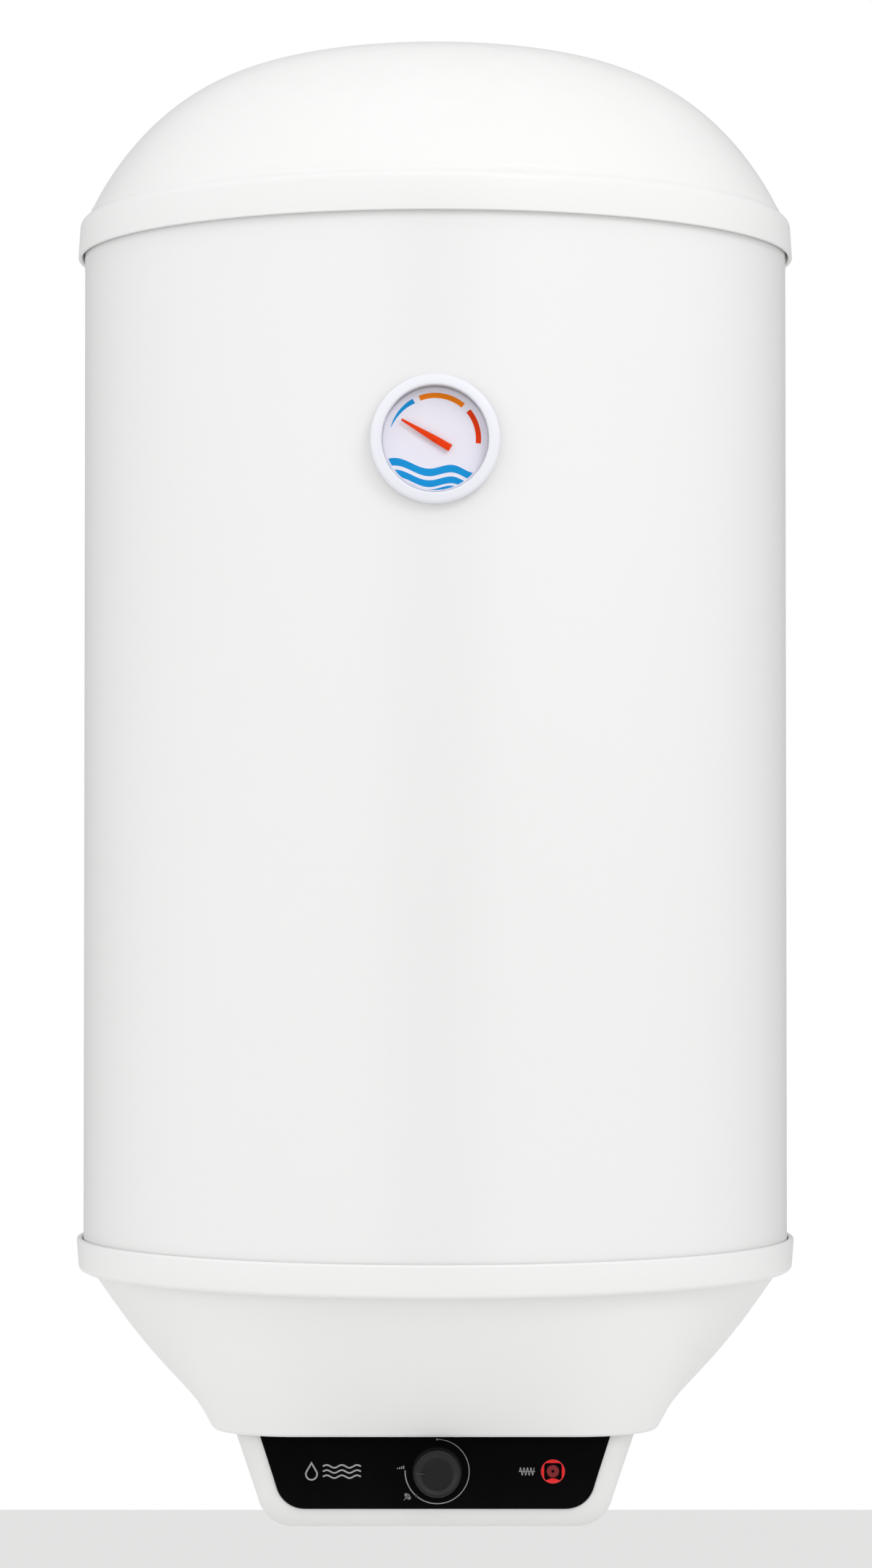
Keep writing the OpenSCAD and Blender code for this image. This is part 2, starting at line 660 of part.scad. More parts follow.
// ================= lamp =================
module lamp_window() {
    color([0.85, 0.1, 0.12, 0.8]) on_axis()
        translate([lamp_x, box_front + panel_recess, control_z]) facing_front() {
            cylinder(d = lamp_d - 0.1, h = fascia_t);
            translate([0, 0, fascia_t]) cylinder(d1 = lamp_d - 0.1, d2 = lamp_d - 1.4, h = 0.5);
        }
}
module lamp_holder() {
    outer = 15.4;
    depth = 16;
    color("white") on_axis() translate([lamp_x, box_front + box_t + 0.2, control_z]) difference() {
        translate([-outer / 2, 0, -outer / 2]) cube([outer, depth, outer]);
        translate([0, 2.5, 0]) facing_front() linear_extrude(4) round_square(11, 10.4, 2.6);
        translate([0, depth + eps, 0]) facing_front() cylinder(d = 9.2 + 2 * fit_gap, h = depth - 1);
    }
}
module round_square(w, h, r) {
    polygon([for (i = [0 : 3]) each arc((i == 0 || i == 3 ? 1 : -1) * (w / 2 - r),
        (i < 2 ? 1 : -1) * (h / 2 - r), r, 90 * i, 90 * i + 90, 5)]);
}
module indicator_lamp() {
    color([0.55, 0.12, 0.14]) on_axis() translate([lamp_x, box_front + box_t + 24, control_z])
        facing_front() {
            cylinder(d = 9.2, h = 20);
            translate([0, 0, 20]) cylinder(d1 = 7.8, d2 = 6.6, h = 1.4);
        }
}

// ================= terminals and wiring =================
module terminal_block() {
    color("ivory") on_axis() translate([terminal_x, terminal_y, box_bottom_z + box_t + 0.1])
        difference() {
            translate([-12, -9, 0]) cube([24, 30, 16]);
            for (i = [-1 : 1]) translate([i * terminal_pitch, 15, 3]) cylinder(d = wire_d + 0.4, h = 20);
            for (i = [-1 : 1]) translate([i * terminal_pitch, -2, 10]) cylinder(d = 4.2, h = 10);
        }
}
module terminal_screws() {
    color("gold") on_axis() translate([terminal_x, terminal_y - 2, box_bottom_z + box_t + 10.3])
        for (i = [-1 : 1]) translate([i * terminal_pitch, 0, 0]) difference() {
            cylinder(d = 3.9, h = 4);
            translate([-3, -0.35, 3]) cube([6, 0.7, 2]);
        }
}
module earth_stud() {
    color("silver") on_axis() translate([-50, 8, bowl_bottom_z]) {
        translate([0, 0, 13.5]) cylinder(d = 4, h = flange_z - bowl_bottom_z - 13.6);
        translate([0, 0, 16]) difference() {
            hex_head(7, 3);
            translate([0, 0, -eps]) cylinder(d = 4, h = 6);
        }
    }
}
module wires(routes, tint) {
    color(tint) on_axis() translate([0, 0, bowl_bottom_z])
        for (route = routes) swept_tube(route, wire_d);
}
module live_wires() { wires(routes_live, "saddlebrown"); }
module neutral_wires() { wires(routes_neutral, "royalblue"); }
module earth_wire() { wires([route_earth], "yellowgreen"); }

module cable_gland() {
    color("dimgray") on_axis() translate([gland_x, gland_y, box_bottom_z]) difference() {
        union() {
            translate([0, 0, -gland_out]) cylinder(d1 = 17, d2 = 21, h = gland_out - 2);
            translate([0, 0, -2]) cylinder(d = 22, h = 1.9);
            translate([0, 0, -1]) cylinder(d = gland_thread_d, h = 13);
        }
        translate([0, 0, -gland_out - eps]) cylinder(d = gland_bore_d, h = 30);
    }
}
module gland_nut() {
    color("dimgray") on_axis() translate([gland_x, gland_y, box_bottom_z + box_t + 0.1])
        difference() {
            hex_head(20, 4.5);
            translate([0, 0, -eps]) cylinder(d = gland_thread_d + 2 * screw_gap, h = 10);
        }
}

// ================= tank =================
function head_curve(r, h, n) = [for (i = [0 : n]) let (t = 90 * i / n) [r * cos(t), h * sin(t)]];

module tank_profile(r, h, n) {
    polygon(concat(
        lifted(head_curve(r, h, n), head_top_z),
        reversed([for (p = head_curve(r, h, n)) [p[0], head_bottom_z - p[1]]])));
}
module tank_shell() {
    color([0.16, 0.2, 0.3]) on_axis() difference() {
        rotate_extrude() difference() {
            tank_profile(tank_r, head_h, 20);
            tank_profile(tank_r - tank_t, head_h - tank_t, 20);
        }
        translate([0, 0, tank_bottom_z - 20]) cylinder(d = flange_d + 0.2, h = 60);
        at_pipes() translate([0, 0, tank_bottom_z - 20]) cylinder(d = pipe_d + 0.2, h = 60);
    }
}
module at_pipes() {
    for (side = [-1, 1]) translate([side * pipe_pitch / 2, pipe_y, 0]) children();
}

module foam_insulation() {
    gap = fit_gap;
    low_z = head_bottom_z - 0.65 * head_h;
    n = 20;
    head_at = [for (p = head_curve(tank_r + gap, head_h + gap, n))
        if (head_bottom_z - p[1] > low_z) [p[0], head_bottom_z - p[1]]];
    meet_r = (tank_r + gap) * sqrt(1 - pow((head_bottom_z - low_z) / (head_h + gap), 2));
    color("khaki") on_axis() difference() {
        rotate_extrude() polygon(concat(
            [[bowl_r - bowl_wall - 1, jacket_bottom - 1], [bowl_r - bowl_wall - 21, low_z],
             [meet_r, low_z]],
            reversed(head_at),
            lifted(head_curve(tank_r + gap, head_h + gap, n), head_top_z),
            reversed(lifted(dome_curve(dome_r - cap_t - gap, dome_h - cap_t - gap, 36),
                top_mouth_z + dome_z)),
            [[dome_r - cap_t - gap, jacket_top - 1], [jacket_r - jacket_t - gap, jacket_top - 1],
             [jacket_r - jacket_t - gap, jacket_bottom + 1],
             [bowl_r - bowl_wall - 1, jacket_bottom + 1]]));
        gauge_hole(case_r + 2);
        translate([0, -(tank_r + foam_t / 2), gauge_z - gauge_r - 74])
            cylinder(d = 9, h = gauge_r + 60);
        bracket_slots(0.8);
    }
}

// ================= flange =================
module bolt_places() {
    for (i = [0 : flange_bolts_n - 1])
        rotate([0, 0, 360 * i / flange_bolts_n + 30]) translate([flange_pcd / 2, 0, 0]) children();
}
module tank_collar() {
    color([0.16, 0.2, 0.3]) on_axis() translate([0, 0, collar_z]) difference() {
        tube(flange_d / 2, flange_bore_r, collar_t);
        bolt_places() translate([0, 0, -eps]) cylinder(d = bolt_d + 2 * screw_gap, h = 13);
    }
}
module flange_gasket() {
    color("black") on_axis() translate([0, 0, collar_z - gasket_t])
        tube(flange_pcd / 2 - bolt_d / 2 - 1, flange_bore_r - 3, gasket_t);
}
module element_legs() {
    for (x = [-leg_x, leg_x], y = [-leg_y, leg_y]) translate([x, y, 0]) children();
}
module flange_plate() {
    color("silver") on_axis() translate([0, 0, flange_z]) difference() {
        cylinder(d = flange_d, h = flange_t);
        bolt_places() translate([0, 0, -eps]) cylinder(d = bolt_d + 1, h = 10);
        element_legs() translate([0, 0, -eps]) cylinder(d = element_d + 2 * screw_gap, h = 10);
        translate([pocket_x, 0, -eps]) cylinder(d = pocket_d + 2 * screw_gap, h = 10);
        translate([anode_x, 0, -eps]) cylinder(d = 8 + 2 * screw_gap, h = 10);
    }
}
module flange_bolts() {
    color("silver") on_axis() translate([0, 0, flange_z]) bolt_places() {
        translate([0, 0, -5.3]) hex_head(13, 5.3);
        cylinder(d = bolt_d, h = flange_t + gasket_t + 10);
    }
}
module heating_element() {
    color("peru") on_axis() for (y = [-leg_y, leg_y]) translate([0, y, 0]) {
        for (side = [-1, 1]) translate([side * leg_x, 0, flange_z - 3])
            cylinder(d = element_d, h = element_h + 3 - leg_x);
        translate([0, 0, flange_z + element_h - leg_x]) rotate([90, 0, 0])
            rotate_extrude(angle = 180) translate([leg_x, 0]) circle(d = element_d);
    }
}
module element_terminals() {
    on_axis() element_legs() {
        color("ivory") translate([0, 0, flange_z - 7]) cylinder(d = 7, h = 3.9);
        color("silver") translate([-spade_t / 2, -spade_w / 2, flange_z - 15]) cube([spade_t, spade_w, 7.9]);
    }
}
module anode_rod() {
    color("gainsboro") on_axis() translate([anode_x, 0, 0]) {
        translate([0, 0, flange_z + flange_t + 12]) cylinder(d = anode_d, h = anode_h);
        translate([0, 0, flange_z - 9]) cylinder(d = 8, h = flange_t + 22);
    }
}
module anode_nut() {
    color("silver") on_axis() translate([anode_x, 0, flange_z - 6.6]) difference() {
        hex_head(13, 6.5);
        translate([0, 0, -eps]) cylinder(d = 8 + 2 * screw_gap, h = 10);
    }
}
module sensor_pocket() {
    color("peru") on_axis() translate([pocket_x, 0, flange_z - 2]) difference() {
        cylinder(d = pocket_d, h = pocket_h);
        translate([0, 0, -eps]) cylinder(d = pocket_bore_d, h = pocket_h - 1);
    }
}

// ================= pipes =================
pipe_top_z = tank_bottom_z + pipe_in + 14;
module water_pipe(side) {
    on_axis() translate([side * pipe_pitch / 2, pipe_y, 0]) difference() {
        union() {
            translate([0, 0, pipe_end_z]) cylinder(d = pipe_thread_d, h = pipe_thread_l);
            translate([0, 0, pipe_end_z + pipe_thread_l - 0.5])
                cylinder(d = pipe_thread_d - 2.4, h = relief_l + 1);
            translate([0, 0, pipe_end_z + pipe_thread_l + relief_l])
                cylinder(d = pipe_d, h = pipe_top_z - pipe_end_z - pipe_thread_l - relief_l);
        }
        translate([0, 0, pipe_end_z - eps])
            cylinder(d = pipe_bore_d, h = pipe_top_z - pipe_end_z + 2 * eps);
    }
}
module pipe_collar(side) {
    on_axis() translate([side * pipe_pitch / 2, pipe_y, bowl_bottom_z + cap_t]) difference() {
        union() {
            translate([0, 0, -4]) cylinder(d = collar_flange_d, h = 4);
            cylinder(d = collar_ring_d, h = cap_t + 4);
        }
        translate([0, 0, -6]) cylinder(d = pipe_d + 2 * fit_gap, h = 20);
    }
}
module cold_pipe() { color("silver") water_pipe(1); }
module hot_pipe() { color("silver") water_pipe(-1); }
module cold_collar() { color("royalblue") pipe_collar(1); }
module hot_collar() { color("red") pipe_collar(-1); }
module cold_diffuser() {
    color("white") on_axis() translate([pipe_pitch / 2, pipe_y, pipe_top_z + 0.1]) difference() {
        union() {
            tube(pipe_d / 2, pipe_bore_d / 2, 12);
            translate([0, 0, 11]) cylinder(r = pipe_d / 2 + 9, h = 2.5);
        }
        for (a = [0, 60, 120]) rotate([0, 0, a]) translate([-20, -3, 3]) cube([40, 6, 6]);
    }
}
dip_top_z = head_top_z + 0.6 * head_h;
module hot_dip_tube() {
    color("white") on_axis() translate([-pipe_pitch / 2, pipe_y, pipe_top_z + 0.1])
        tube(pipe_d / 2, pipe_bore_d / 2, dip_top_z - pipe_top_z);
}

// ================= wall fixings =================
module wall_bracket() {
    color("silver") difference() {
        translate([-bracket_w / 2, -bracket_t, -bracket_h / 2]) cube([bracket_w, bracket_t, bracket_h]);
        for (side = [-1, 1]) translate([side * bracket_pitch / 2, eps, 0]) facing_front()
            cylinder(d = bracket_hole_d, h = bracket_t + 2 * eps);
    }
    color("silver") difference() {
        for (side = [-1, 1])
            translate([side * arm_x - bracket_t / 2, axis_y + tank_r * 0.8, -bracket_h / 2])
                cube([bracket_t, -axis_y - tank_r * 0.8 - bracket_t / 2, bracket_h]);
        on_axis() translate([0, 0, -bracket_h]) cylinder(r = tank_r + 0.15, h = 2 * bracket_h);
    }
}
module rear_buffers() {
    color([0.15, 0.15, 0.15]) difference() {
        for (side = [-1, 1]) translate([side * buffer_x, 0, buffer_z]) facing_front()
            cylinder(d = buffer_d, h = jacket_r);
        on_axis() translate([0, 0, buffer_z - buffer_d]) cylinder(r = jacket_r + 0.15, h = 2 * buffer_d);
    }
}

// ================= thermometer =================
module at_gauge() { on_axis() translate([0, 0, gauge_z]) children(); }
module from_front(y, h) { translate([0, y + h, 0]) facing_front() children(); }

module gauge_bezel() {
    edge_r = 2.6;
    color("white") at_gauge() translate([0, bezel_back, 0]) facing_front() rotate_extrude()
        polygon(concat(
            [[bezel_in, 0], [gauge_r - 0.4, 0], [gauge_r, 0.6]],
            arc(gauge_r - edge_r, bezel_h - edge_r - 0.6, edge_r, 0, 72, 6),
            arc(bezel_in + 0.9, bezel_h - 0.9, 0.9, 90, 180, 4)));
}
module gauge_glass() {
    color([0.9, 0.95, 1, 0.3]) at_gauge() from_front(glass_front, glass_t)
        cylinder(r = bezel_in - 0.15, h = glass_t);
}
module gauge_dial() {
    color("lavender") at_gauge() difference() {
        from_front(dial_front, dial_t) cylinder(r = case_r - case_t - 0.15, h = dial_t);
        from_front(dial_front - 5, 10) cylinder(d = spindle_d + 2 * running_gap, h = 10);
    }
}
module gauge_needle() {
    tip_w = 1.3;
    color("orangered") at_gauge() from_front(needle_y, needle_t) rotate([0, 0, needle_rest])
        linear_extrude(needle_t) difference() {
            polygon([[-needle_tail, -needle_w / 2], [0, -needle_w * 0.46], [needle_tip, -tip_w / 2],
                [needle_tip, tip_w / 2], [0, needle_w * 0.46], [-needle_tail, needle_w / 2]]);
            circle(d = spindle_d + 2 * 0.02);
        }
}
module gauge_spindle() {
    front = needle_y - 0.5;
    length = case_back - case_t - 0.4 - front;
    color("silver") at_gauge() from_front(front, length) cylinder(d = spindle_d, h = length);
}
module gauge_case() {
    depth = case_back - bezel_back - 0.1;
    color("white") at_gauge() difference() {
        from_front(bezel_back + 0.1, depth) cylinder(r = case_r, h = depth);
        from_front(bezel_back - eps, depth + eps) translate([0, 0, case_t])
            cylinder(r = case_r - case_t, h = depth + 4 * eps);
    }
    color("white") at_gauge() difference() {
        from_front(bezel_back - 1.2, 1.4) cylinder(r = bezel_in - 0.1, h = 1.4);
        from_front(bezel_back - 5, 10) cylinder(r = case_r - case_t, h = 10);
    }
    color("white") at_gauge() difference() {
        from_front(case_back - case_t - 3, 3.1) cylinder(r = 2.4, h = 3.1);
        from_front(case_back - case_t - 5, 5) cylinder(d = spindle_d + 2 * running_gap, h = 5);
    }
}
module gauge_spiral() {
    strip_h = 4;
    strip_t = 0.5;
    turns = 4;
    steps = 24 * turns;
    y0 = dial_front + dial_t + 3;
    coil = function (grow) [for (i = [0 : steps]) let (a = 360 * turns * i / steps, r = 4 + 12 * i / steps)
        (r + grow) * [cos(a), sin(a)]];
    color("goldenrod") at_gauge() from_front(y0, strip_h) linear_extrude(strip_h)
        polygon(concat(coil(strip_t), reversed(coil(0))));
}
module gauge_bulb() {
    y = -(tank_r + foam_t / 2);
    top = gauge_z - case_r - 0.1;
    color("peru") on_axis() {
        translate([0, y, top - 16]) cylinder(d = 2, h = 16);
        translate([0, y, top - 66]) cylinder(d = 6, h = 50);
    }
}
module gauge_clip() {
    color("silver") at_gauge() difference() {
        from_front(jacket_front + jacket_t + 4.6, 1.2) tube(case_r + 1.6, case_r + 0.1, 1.2);
        translate([case_r - 4, -jacket_r, -4]) cube([10, jacket_r, 8]);
    }
}

// ================= screws =================
module cover_screw_places() {
    for (side = [-1, 1]) translate([side * cover_screw_x, box_back - 34, box_bottom_z + box_t])
        children();
}
module cover_screws() {
    color("silver") on_axis() cover_screw_places() {
        translate([0, 0, -box_t - 0.1]) rotate([180, 0, 0]) pan_screw(7, 2.2, 4, 14);
    }
    color("silver") on_axis() translate([0, 0, bowl_bottom_z + 2 * cap_t + 0.2])
        pipe_plate_screws() pan_screw(7, 2.2, 4, cap_t);
}
cap_screw_z = 8;                            // from a skirt's mouth to its screws
cap_screw_d = 3.2;
cap_screw_seat = skirt_out - skirt_draft * cap_screw_z / skirt_h + 0.3;
module cap_screw_places(z) {
    for (a = [76, 104]) rotate([0, 0, a]) translate([cap_screw_seat, 0, z]) rotate([0, 90, 0])
        children();
}
module cap_screw_hole() {
    translate([0, 0, -12]) cylinder(d = cap_screw_d + 2 * screw_gap, h = 14, $fn = 32);
}
module cap_screws() {
    reach = cap_screw_seat - jacket_r + jacket_t + 0.2;
    color("silver") on_axis() for (z = [top_mouth_z + cap_screw_z, bottom_mouth_z - cap_screw_z])
        cap_screw_places(z) pan_screw(7, 2, cap_screw_d, reach);
}

outer_jacket();
top_cap();
bottom_cap();
pipe_plate();
service_cover();
front_panel();
thermostat_knob();
thermostat_shaft();
thermostat_body();
thermostat_plate();
thermostat_screws();
thermostat_capillary();
thermostat_bulb();
safety_cutout();
reset_button();
cutout_capillary();
cutout_bulb();
lamp_window();
lamp_holder();
indicator_lamp();
terminal_block();
terminal_screws();
cable_gland();
gland_nut();
earth_stud();
live_wires();
neutral_wires();
earth_wire();
heating_element();
element_terminals();
flange_plate();
flange_gasket();
tank_collar();
flange_bolts();
anode_rod();
anode_nut();
sensor_pocket();
tank_shell();
foam_insulation();
cold_pipe();
cold_diffuser();
cold_collar();
hot_pipe();
hot_dip_tube();
hot_collar();
wall_bracket();
rear_buffers();
gauge_bezel();
gauge_glass();
gauge_dial();
gauge_needle();
gauge_spindle();
gauge_case();
gauge_spiral();
gauge_bulb();
gauge_clip();
cover_screws();
cap_screws();
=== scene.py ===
"""The finished surfaces of a wall-hung storage water heater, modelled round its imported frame."""

import json
from math import atan, cos, hypot, pi, radians, sin, sqrt

import bmesh
import bpy
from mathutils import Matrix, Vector

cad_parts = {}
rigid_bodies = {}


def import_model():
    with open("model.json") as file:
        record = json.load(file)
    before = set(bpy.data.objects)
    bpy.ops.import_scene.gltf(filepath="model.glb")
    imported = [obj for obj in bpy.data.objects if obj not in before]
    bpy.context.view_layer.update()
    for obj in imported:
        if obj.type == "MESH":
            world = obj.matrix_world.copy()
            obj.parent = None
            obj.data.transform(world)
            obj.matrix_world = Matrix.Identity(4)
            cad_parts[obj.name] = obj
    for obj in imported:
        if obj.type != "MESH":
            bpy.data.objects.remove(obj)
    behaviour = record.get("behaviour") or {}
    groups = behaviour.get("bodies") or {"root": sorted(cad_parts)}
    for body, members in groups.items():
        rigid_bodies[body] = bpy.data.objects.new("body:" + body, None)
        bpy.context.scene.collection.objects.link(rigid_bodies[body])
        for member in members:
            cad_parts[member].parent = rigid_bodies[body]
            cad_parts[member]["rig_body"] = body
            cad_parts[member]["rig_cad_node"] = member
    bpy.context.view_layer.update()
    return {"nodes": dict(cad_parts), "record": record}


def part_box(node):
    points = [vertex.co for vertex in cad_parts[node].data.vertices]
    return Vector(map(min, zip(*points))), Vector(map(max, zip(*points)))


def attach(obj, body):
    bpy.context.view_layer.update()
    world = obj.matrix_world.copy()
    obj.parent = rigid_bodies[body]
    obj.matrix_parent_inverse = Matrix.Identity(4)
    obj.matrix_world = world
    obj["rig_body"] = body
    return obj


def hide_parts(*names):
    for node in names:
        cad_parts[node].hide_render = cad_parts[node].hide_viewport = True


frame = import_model()

MM = 0.001
FULL_TURN = 2 * pi
WELD = 0.004 * MM
COPY_WELD = 0.01 * MM
UP = Vector((0, 0, 1))
FRONT = Vector((0, -1, 0))
SMOOTHEST = 0.02                      # least roughness of any finish
DUST = (0.42, 0.4, 0.37)


# ---------------------------------------------------------------- sizes, some read from the frame and the rest given
def low(node):
    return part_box(node)[0]


def high(node):
    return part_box(node)[1]


def middle(node):
    return (low(node) + high(node)) / 2


def half_width(node):
    return (high(node).x - low(node).x) / 2


JACKET_R = half_width("outer_jacket")
JACKET_T = 0.6 * MM
AXIS_Y = low("outer_jacket").y + JACKET_R
JACKET_BOTTOM, JACKET_TOP = low("outer_jacket").z, high("outer_jacket").z

CAP_T = 2.5 * MM
SKIRT_R = half_width("top_cap")
SKIRT_IN = SKIRT_R - CAP_T
SKIRT_H = 20 * MM
SKIRT_DRAFT = 1.2 * MM
SKIRT_SEAT = 18 * MM
SHOULDER_R = 5.5 * MM
TOP_MOUTH = low("top_cap").z
DOME_FOOT = SKIRT_H + SHOULDER_R
DOME_R = JACKET_R - 2.5 * MM
DOME_H = high("top_cap").z - TOP_MOUTH - DOME_FOOT
DOME_SIDE, DOME_CROWN = 3.65, 1.13

BOTTOM_MOUTH = high("bottom_cap").z
BOWL_EDGE = low("bottom_cap").z
BOWL_TOP = SKIRT_H + 0.7 * MM
FOOT_R = 3.4 * MM
BOWL_H = BOTTOM_MOUTH - BOWL_EDGE - BOWL_TOP
BOWL_R = JACKET_R - 5.5 * MM
BOWL_HALF = (136.5 * MM, 165 * MM)
BOWL_CORNER = 50 * MM
BOWL_STRAIGHT, BOWL_POWER = 0.75, 3.3
BOWL_WALL = 1.3 * CAP_T
LIP_HALF = (126 * MM, 161.9 * MM)
LIP_CORNER = 38 * MM

BOX_FRONT, BOX_BACK = low("service_cover").y, high("service_cover").y
BOX_TOP, BOX_BOTTOM = high("service_cover").z, low("service_cover").z
BOX_HALF = half_width("service_cover")
BOX_T = 2.5 * MM
BOX_LEAN = 0.28
BOX_BULGE = 1.5 * MM
BOX_CORNER = 26 * MM
BOX_ROUND = 22 * MM
BOX_EDGE = 9 * MM

PANEL_FRONT = low("front_panel").y
PANEL_BACK = high("front_panel").y
PANEL_TOP, PANEL_BOTTOM = high("front_panel").z, low("front_panel").z
PANEL_HALF = half_width("front_panel")
PANEL_LEAN = 0.34
PANEL_CORNER = 18 * MM
CONTROL_Z = middle("thermostat_knob").z
KNOB_X = middle("thermostat_knob").x
LAMP_X = middle("lamp_window").x

GAUGE_Z = middle("gauge_bezel").z
GAUGE_R = half_width("gauge_bezel")
GAUGE_IN = half_width("gauge_glass") + 0.15 * MM
DIAL_FRONT = low("gauge_dial").y


# ---------------------------------------------------------------- modelling helpers
def deselect():
    bpy.ops.object.select_all(action="DESELECT")


def only(piece):
    """Selects this piece alone and makes it the active one."""
    deselect()
    bpy.context.view_layer.objects.active = piece
    piece.select_set(True)


def edit(piece):
    """Edit mode on this piece alone, with its mesh in code."""
    only(piece)
    bpy.ops.object.mode_set(mode="EDIT")
    bpy.ops.mesh.select_mode(type="VERT")
    return bmesh.from_edit_mesh(piece.data)


def leave_edit():
    bpy.ops.object.mode_set(mode="OBJECT")


def select_whole():
    bpy.ops.mesh.select_all(action="SELECT")


def merge_doubles(distance=WELD):
    select_whole()
    bpy.ops.mesh.remove_doubles(threshold=distance)


def weld():
    """In edit mode: closes seams and poles, and turns every face outwards."""
    merge_doubles()
    bpy.ops.mesh.normals_make_consistent(inside=False)


def settle(piece, name):
    """Names a piece and moves its place into its mesh."""
    only(piece)
    bpy.ops.object.transform_apply(location=True, rotation=True, scale=True)
    piece.name = piece.data.name = name
    return piece


def in_mm(*points):
    """Points given in millimetres, in metres."""
    return [tuple(value * MM for value in point) for point in points]


def arc(cx, cy, r, start, end, steps):
    """Points of a round stretch, angles in degrees."""
    turns = [radians(start + (end - start) * i / steps) for i in range(steps + 1)]
    return [(cx + r * cos(a), cy + r * sin(a)) for a in turns]


def draw_path(places):
    """Edit mode on a new line drawn point by point, starting from a plane merged to one point."""
    deselect()
    bpy.ops.mesh.primitive_plane_add(size=MM, location=places[0])
    piece = bpy.context.object
    edit(piece)
    select_whole()
    bpy.ops.mesh.merge(type="CENTER")
    for here, there in zip(places, places[1:]):
        bpy.ops.mesh.extrude_vertices_move(TRANSFORM_OT_translate={"value": there - here})
    select_whole()
    return piece


def lathe(name, outline, foot, axis=UP, steps=96):
    """Turned piece: the outline of (radius, height) points is drawn from the foot and spun round the axis."""
    foot = Vector(foot)
    piece = draw_path([foot + Vector((r, 0, 0)) + axis * h for r, h in outline])
    bpy.ops.mesh.spin(steps=steps, angle=FULL_TURN, center=foot, axis=axis)
    weld()
    leave_edit()
    return settle(piece, name)


def ring_stack(name, rings, fill_last=False):
    """Shell of level rings: a circle is added, and each ring is extruded from the one before it."""
    count = len(rings[0])
    deselect()
    bpy.ops.mesh.primitive_circle_add(vertices=count, radius=1, fill_type="NOTHING", location=(0, 0, 0))
    piece = bpy.context.object
    mesh = edit(piece)
    mesh.verts.ensure_lookup_table()
    order = {}
    for j, vert in enumerate(mesh.verts):
        vert.co = rings[0][j]
        order[vert.index] = j
    select_whole()
    for ring in rings[1:]:
        bpy.ops.mesh.extrude_edges_move(TRANSFORM_OT_translate={"value": (0, 0, 0)})
        mesh = bmesh.from_edit_mesh(piece.data)
        mesh.verts.index_update()
        fresh = {}
        for vert in (v for v in mesh.verts if v.select):
            origin = next(e.other_vert(vert) for e in vert.link_edges if not e.other_vert(vert).select)
            fresh[vert.index] = order[origin.index]
            vert.co = ring[fresh[vert.index]]
        order = fresh
    if fill_last:
        bpy.ops.mesh.edge_face_add()
    bmesh.update_edit_mesh(piece.data)
    weld()
    leave_edit()
    return settle(piece, name)


def plate(name, outline, y_back, thickness, centre=(0, 0)):
    """Flat piece that faces the room: an outline in X and Z, thickened towards the front."""
    deselect()
    bpy.ops.mesh.primitive_circle_add(vertices=len(outline), radius=MM, fill_type="NGON", location=(0, 0, 0))
    piece = bpy.context.object
    mesh = edit(piece)
    mesh.verts.ensure_lookup_table()
    for vert, (x, z) in zip(mesh.verts, outline):
        vert.co = (centre[0] + x, y_back, centre[1] + z)
    bmesh.update_edit_mesh(piece.data)
    select_whole()
    bpy.ops.mesh.extrude_region_move(TRANSFORM_OT_translate={"value": (0, -thickness, 0)})
    weld()
    leave_edit()
    return settle(piece, name)


def stroke(name, points, width, y_back, height=0.05 * MM, centre=(0, 0), closed=False):
    """Printed line: its path is drawn point by point, raised off the surface and given its width."""
    points = [Vector((centre[0] + x, y_back, centre[1] + z)) for x, z in points]
    piece = draw_path(points + points[:1] if closed else points)
    merge_doubles()
    select_whole()
    bpy.ops.mesh.extrude_edges_move(TRANSFORM_OT_translate={"value": (0, -height, 0)})
    leave_edit()
    modify(piece, "SOLIDIFY", thickness=width, offset=0, use_even_offset=True)
    return settle(piece, name)


def block(name, lo, hi):
    """Box between two corners, a start for bevels and cuts."""
    lo, hi = Vector(lo), Vector(hi)
    deselect()
    bpy.ops.mesh.primitive_cube_add(size=1, location=(lo + hi) / 2, scale=hi - lo)
    return settle(bpy.context.object, name)


def modify(piece, kind, **settings):
    """Adds a modifier with these settings and applies it."""
    only(piece)
    modifier = piece.modifiers.new(kind.lower(), kind)
    for setting, value in settings.items():
        setattr(modifier, setting, value)
    bpy.ops.object.modifier_apply(modifier=modifier.name)
    return piece


def soften(piece, width, angle=30, segments=3):
    """Rounds the sharp edges of a piece."""
    return modify(piece, "BEVEL", width=width, segments=segments, limit_method="ANGLE",
                  angle_limit=radians(angle), harden_normals=False, use_clamp_overlap=True)


def carve(piece, *cutters):
    """Takes cutters out of a piece."""
    for cutter in cutters:
        modify(piece, "BOOLEAN", operation="DIFFERENCE", solver="EXACT", object=cutter)
        bpy.data.objects.remove(cutter)
    return piece


def join(name, pieces):
    deselect()
    for piece in pieces:
        piece.select_set(True)
    bpy.context.view_layer.objects.active = pieces[0]
    bpy.ops.object.join()
    pieces[0].name = pieces[0].data.name = name
    return pieces[0]


def drill(radius, foot, depth, axis, steps=48):
    """Round cutter from the foot along an axis."""
    return lathe("cutter", [(0, 0), (radius, 0), (radius, depth), (0, depth)], foot, axis, steps)


def copy_of(node, name):
    """Merged copy of a CAD node, to be given softened edges and more detail."""
    only(frame["nodes"][node])
    bpy.ops.object.duplicate()
    piece = bpy.context.object
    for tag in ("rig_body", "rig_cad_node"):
        del piece[tag]
    piece.parent = None
    piece.data.materials.clear()
    edit(piece)
    merge_doubles(COPY_WELD)
    bpy.ops.mesh.dissolve_limited(angle_limit=radians(1))
    leave_edit()
    return settle(piece, name)


